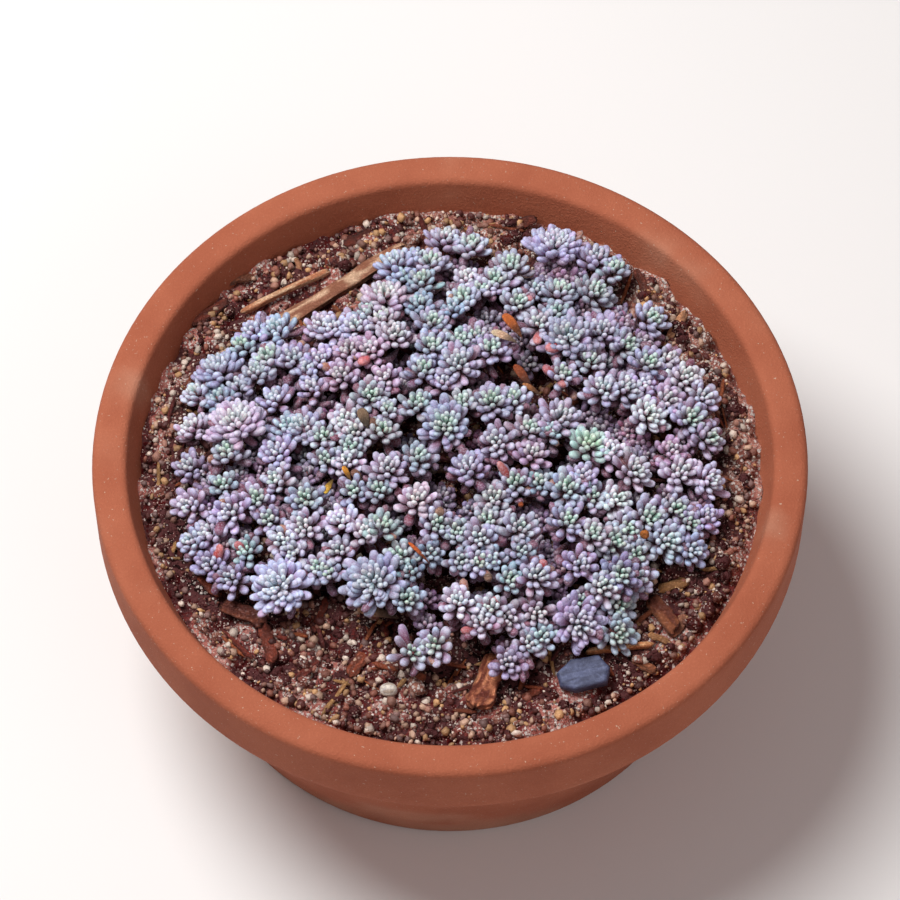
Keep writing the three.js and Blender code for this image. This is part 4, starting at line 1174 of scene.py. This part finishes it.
def round_corners(outline, radius, steps=5):
    """The closed outline with each corner rounded by up to radius."""
    outline = np.array(outline, float)
    rounded = []
    for before, corner, after in zip(np.roll(outline, 1, axis=0), outline, np.roll(outline, -1, axis=0)):
        reach = min(radius, *(0.45 * np.linalg.norm(other - corner) for other in (before, after)))
        start, end = (corner + unit(other - corner) * reach for other in (before, after))
        rounded.append(curve(start, corner, end, np.linspace(0, 1, steps)[:, None])[0])
    return np.concatenate(rounded)


def filled(outline, step):
    """The closed outline with points added so that none are much further apart than step."""
    points = []
    for start, end in zip(outline, np.roll(outline, -1, axis=0)):
        count = max(1, int(np.linalg.norm(end - start) / step))
        points.append(toward(start, end, np.arange(count)[:, None] / count))
    return np.concatenate(points)


def make_pan(skin):
    collar = PAN_HEIGHT - RIM_DEPTH
    outline = [(DRAIN_RADIUS, 0), (PAN_BASE_RADIUS, 0), (PAN_WAIST_RADIUS, collar), (RIM_RADIUS, collar),
               (RIM_RADIUS, PAN_HEIGHT), (inner_radius(PAN_HEIGHT), PAN_HEIGHT),
               (inner_radius(FLOOR_THICKNESS), FLOOR_THICKNESS), (DRAIN_RADIUS, FLOOR_THICKNESS)]
    rows = filled(round_corners(outline, EDGE_ROUND), PAN_STEP)
    radius, height = rows[:, :1], rows[:, 1:]
    cos, sin = circle(PAN_SIDES)
    points = np.stack([radius * cos, radius * sin, height + 0 * cos], axis=-1)
    free = smooth_step(0.5, 3, height) * smooth_step(RIM_RADIUS, RIM_RADIUS - 0.8, radius)
    worn_off = WHEEL_DEPTH * (1 + np.sin(height * 2.6 + 0.6 * sin)) + PAN_UNEVENNESS * (1 + rough(points, 22, 51, 2))
    points[..., :2] *= (1 - free * worn_off / radius)[..., None]
    bloom = smooth_step(0, 1.2, rough(points, 16, 52, 3) + 0.9 * smooth_step(16, 0, height) - 0.35)
    colors = linear(toward(CLAY, CLAY_BLOOM, bloom[..., None] * 0.6))
    shape = Shape()
    shape.add(points.reshape(-1, 3), colors.reshape(-1, 3), len(rows), PAN_SIDES, hoop_faces)
    shape.make("clay_pan", skin, "terracotta", ["pan"])


# Skins

def leaf_skin():
    skin = Surface("leaf_skin")
    mottle = skin.patches(0.9, 0.35, 0.68, 4)
    speckle = skin.patches(0.34, 0.46, 0.64, 3, 0.7)
    powder = skin.patches(2.2, 0.3, 0.7)
    flush = skin.patches(1.7, 0.46, 0.7, 2)
    color = skin.worn(mottle, skin.tint(), 0.36, (0.26, 0.13, 0.23, 1))
    color = skin.blend(flush, color, skin.blend(0.45, color, (0.95, 0.62, 0.78, 1), "MULTIPLY"))
    color = skin.blend(skin.math("MULTIPLY", speckle, 0.24), color, (0.80, 0.80, 0.96, 1), "SCREEN")
    color = skin.blend(skin.math("MULTIPLY", powder, 0.07), color, (0.72, 0.72, 0.9, 1), "SCREEN")
    return skin.finish(Base_Color=color, Roughness=skin.between(mottle, 0.44, 0.6),
                       Normal=skin.bump(speckle, 0.03, 0.5), Subsurface_Weight=0.12,
                       Subsurface_Radius=(0.0014, 0.0007, 0.0007), Subsurface_Scale=1.0, Sheen_Weight=0.4,
                       Sheen_Roughness=0.35, Sheen_Tint=(0.82, 0.86, 1, 1), Specular_IOR_Level=0.4)


def clay_skin():
    skin = Surface("fired_clay")
    cloud = skin.patches(14, 0.3, 0.7, 5)
    sand = skin.patches(0.5, 0.4, 0.7, 3, 0.7)
    specks = skin.patches(0.55, 0.68, 0.76, 2)
    color = skin.worn(cloud, skin.tint(), 0.35, (0.62, 0.42, 0.34, 1))
    color = skin.worn(sand, color, 0.4, (0.7, 0.62, 0.58, 1))
    color = skin.blend(specks, color, (0.5, 0.33, 0.24, 1))
    bump = skin.bump(sand, 0.16, 0.5, Normal=skin.bump(cloud, 0.5, 0.3))
    return skin.finish(Base_Color=color, Roughness=0.86, Normal=bump, Specular_IOR_Level=0.3)


def soil_skin():
    """Dark earth with grains of sand and silt, which are fewer in its hollows."""
    skin = Surface("gritty_soil")
    tint = skin.tint()
    lumpy = skin.patches(1.6, 0.35, 0.68, 6, 0.65)
    fine = skin.patches(0.35, 0.38, 0.7, 4, 0.7)
    sand, sand_height = skin.grains(0.75)
    silt, silt_height = skin.grains(0.38)
    raised = skin.ramp(skin.add("SeparateColor", {"Color": tint})["Green"], 0.01, 0.19)
    sand = skin.math("ADD", sand, skin.math("MULTIPLY_ADD", raised, 0.6, -0.3))
    sand_share = skin.math("MULTIPLY", skin.ramp(sand, 0.58, 0.68), skin.ramp(sand_height, 0.3, 0.6))
    silt_share = skin.math("MULTIPLY", skin.ramp(silt, 0.6, 0.7), skin.ramp(silt_height, 0.3, 0.6))
    color = skin.worn(lumpy, tint, 0.55, (0.34, 0.09, 0.10, 1))
    color = skin.worn(fine, color, 0.5, (0.5, 0.32, 0.30, 1))
    color = skin.blend(silt_share, color, SAND_TAN)
    color = skin.blend(sand_share, color, SAND_PALE)
    color = skin.blend(skin.ramp(sand, 0.3, 0.22), color, SAND_DARK)
    bump = skin.bump(sand_height, 0.3, 0.8, Normal=skin.bump(lumpy, 0.7, 0.8))
    bump = skin.bump(silt_height, 0.12, 0.7, Normal=bump)
    return skin.finish(Base_Color=color, Roughness=skin.between(lumpy, 0.55, 0.9), Normal=bump,
                       Specular_IOR_Level=0.15)


def plain_skin(name):
    layers, roughness, relief = PLAIN_SKINS[name]
    skin = Surface(name)
    color = skin.tint()
    masks = [skin.patches(*patches) for patches, _, _ in layers]
    for mask, (_, share, dark) in zip(masks, layers):
        color = skin.worn(mask, color, share, dark)
    return skin.finish(Base_Color=color, Roughness=roughness, Normal=skin.bump(masks[0], *relief))


# Stage

def aim(piece, place, target):
    """Puts a camera or light at the place and turns it to the target, both in metres."""
    piece.location = place
    piece.rotation_euler = (Vector(target) - Vector(place)).to_track_quat("-Z", "Y").to_euler()


def add_camera():
    back = np.array([0, -math.cos(VIEW_ELEVATION), math.sin(VIEW_ELEVATION)])
    up = np.array([0, math.sin(VIEW_ELEVATION), math.cos(VIEW_ELEVATION)])
    target = np.array([0, 0, VIEW_HEIGHT]) - AIM_DROP * up
    data = bpy.data.cameras.new("camera")
    data.lens, data.sensor_width = LENS, SENSOR
    data.clip_start, data.clip_end = 0.05, 20
    camera = link("camera", data)
    aim(camera, (target + back * CAMERA_DISTANCE) * MM, target * MM)
    bpy.context.scene.camera = camera


def add_light(name, place, size, power, color):
    data = bpy.data.lights.new(name, "AREA")
    data.shape, data.size, data.energy, data.color = "DISK", size, power, color
    aim(link(name, data), place, (0, 0, 0.05))


def add_stage():
    mesh = bpy.data.meshes.new("floor")
    corners = [(x * FLOOR_HALF, y * FLOOR_HALF, 0) for x, y in ((-1, -1), (1, -1), (1, 1), (-1, 1))]
    mesh.from_pydata(corners, [], [(0, 1, 2, 3)])
    mesh.materials.append(Surface("pale_floor").finish(Base_Color=FLOOR_COLOR, Roughness=0.9))
    floor = link("floor", mesh)
    world = bpy.data.worlds.new("studio")
    world.use_nodes = True
    sky = world.node_tree.nodes["Background"]
    sky.inputs["Color"].default_value = SKY_COLOR
    sky.inputs["Strength"].default_value = SKY_STRENGTH
    bpy.context.scene.world = world
    for light in LIGHTS:
        add_light(*light)
    bpy.context.scene.view_settings.view_transform = "Standard"


add_camera()
add_stage()
mat = plant_mat()
head_places = np.array([head.place for tuft in mat for head in tuft.heads])
add_low_shoots(mat, head_places)
soil, wood, stone = soil_skin(), plain_skin("dead_wood"), plain_skin("stone")
make_pan(clay_skin())
make_soil(soil, head_places)
grain_chance = np.random.default_rng(31)
make_grains(grain_chance, head_places, "soil_grit", plain_skin("grit"), *GRIT)
make_grains(grain_chance, head_places, "soil_crumbs", soil, *CRUMBS)
make_splinters(wood)
make_loose_bits(wood)
make_dry_bits(wood)
make_caught_crumbs(wood)
make_litter(wood)
make_slate(stone)
make_pebble(stone)
leaf, stem = leaf_skin(), plain_skin("stem_skin")
for tuft in mat:
    make_tuft(tuft, leaf, stem)
make_red_leaves(leaf, mat)
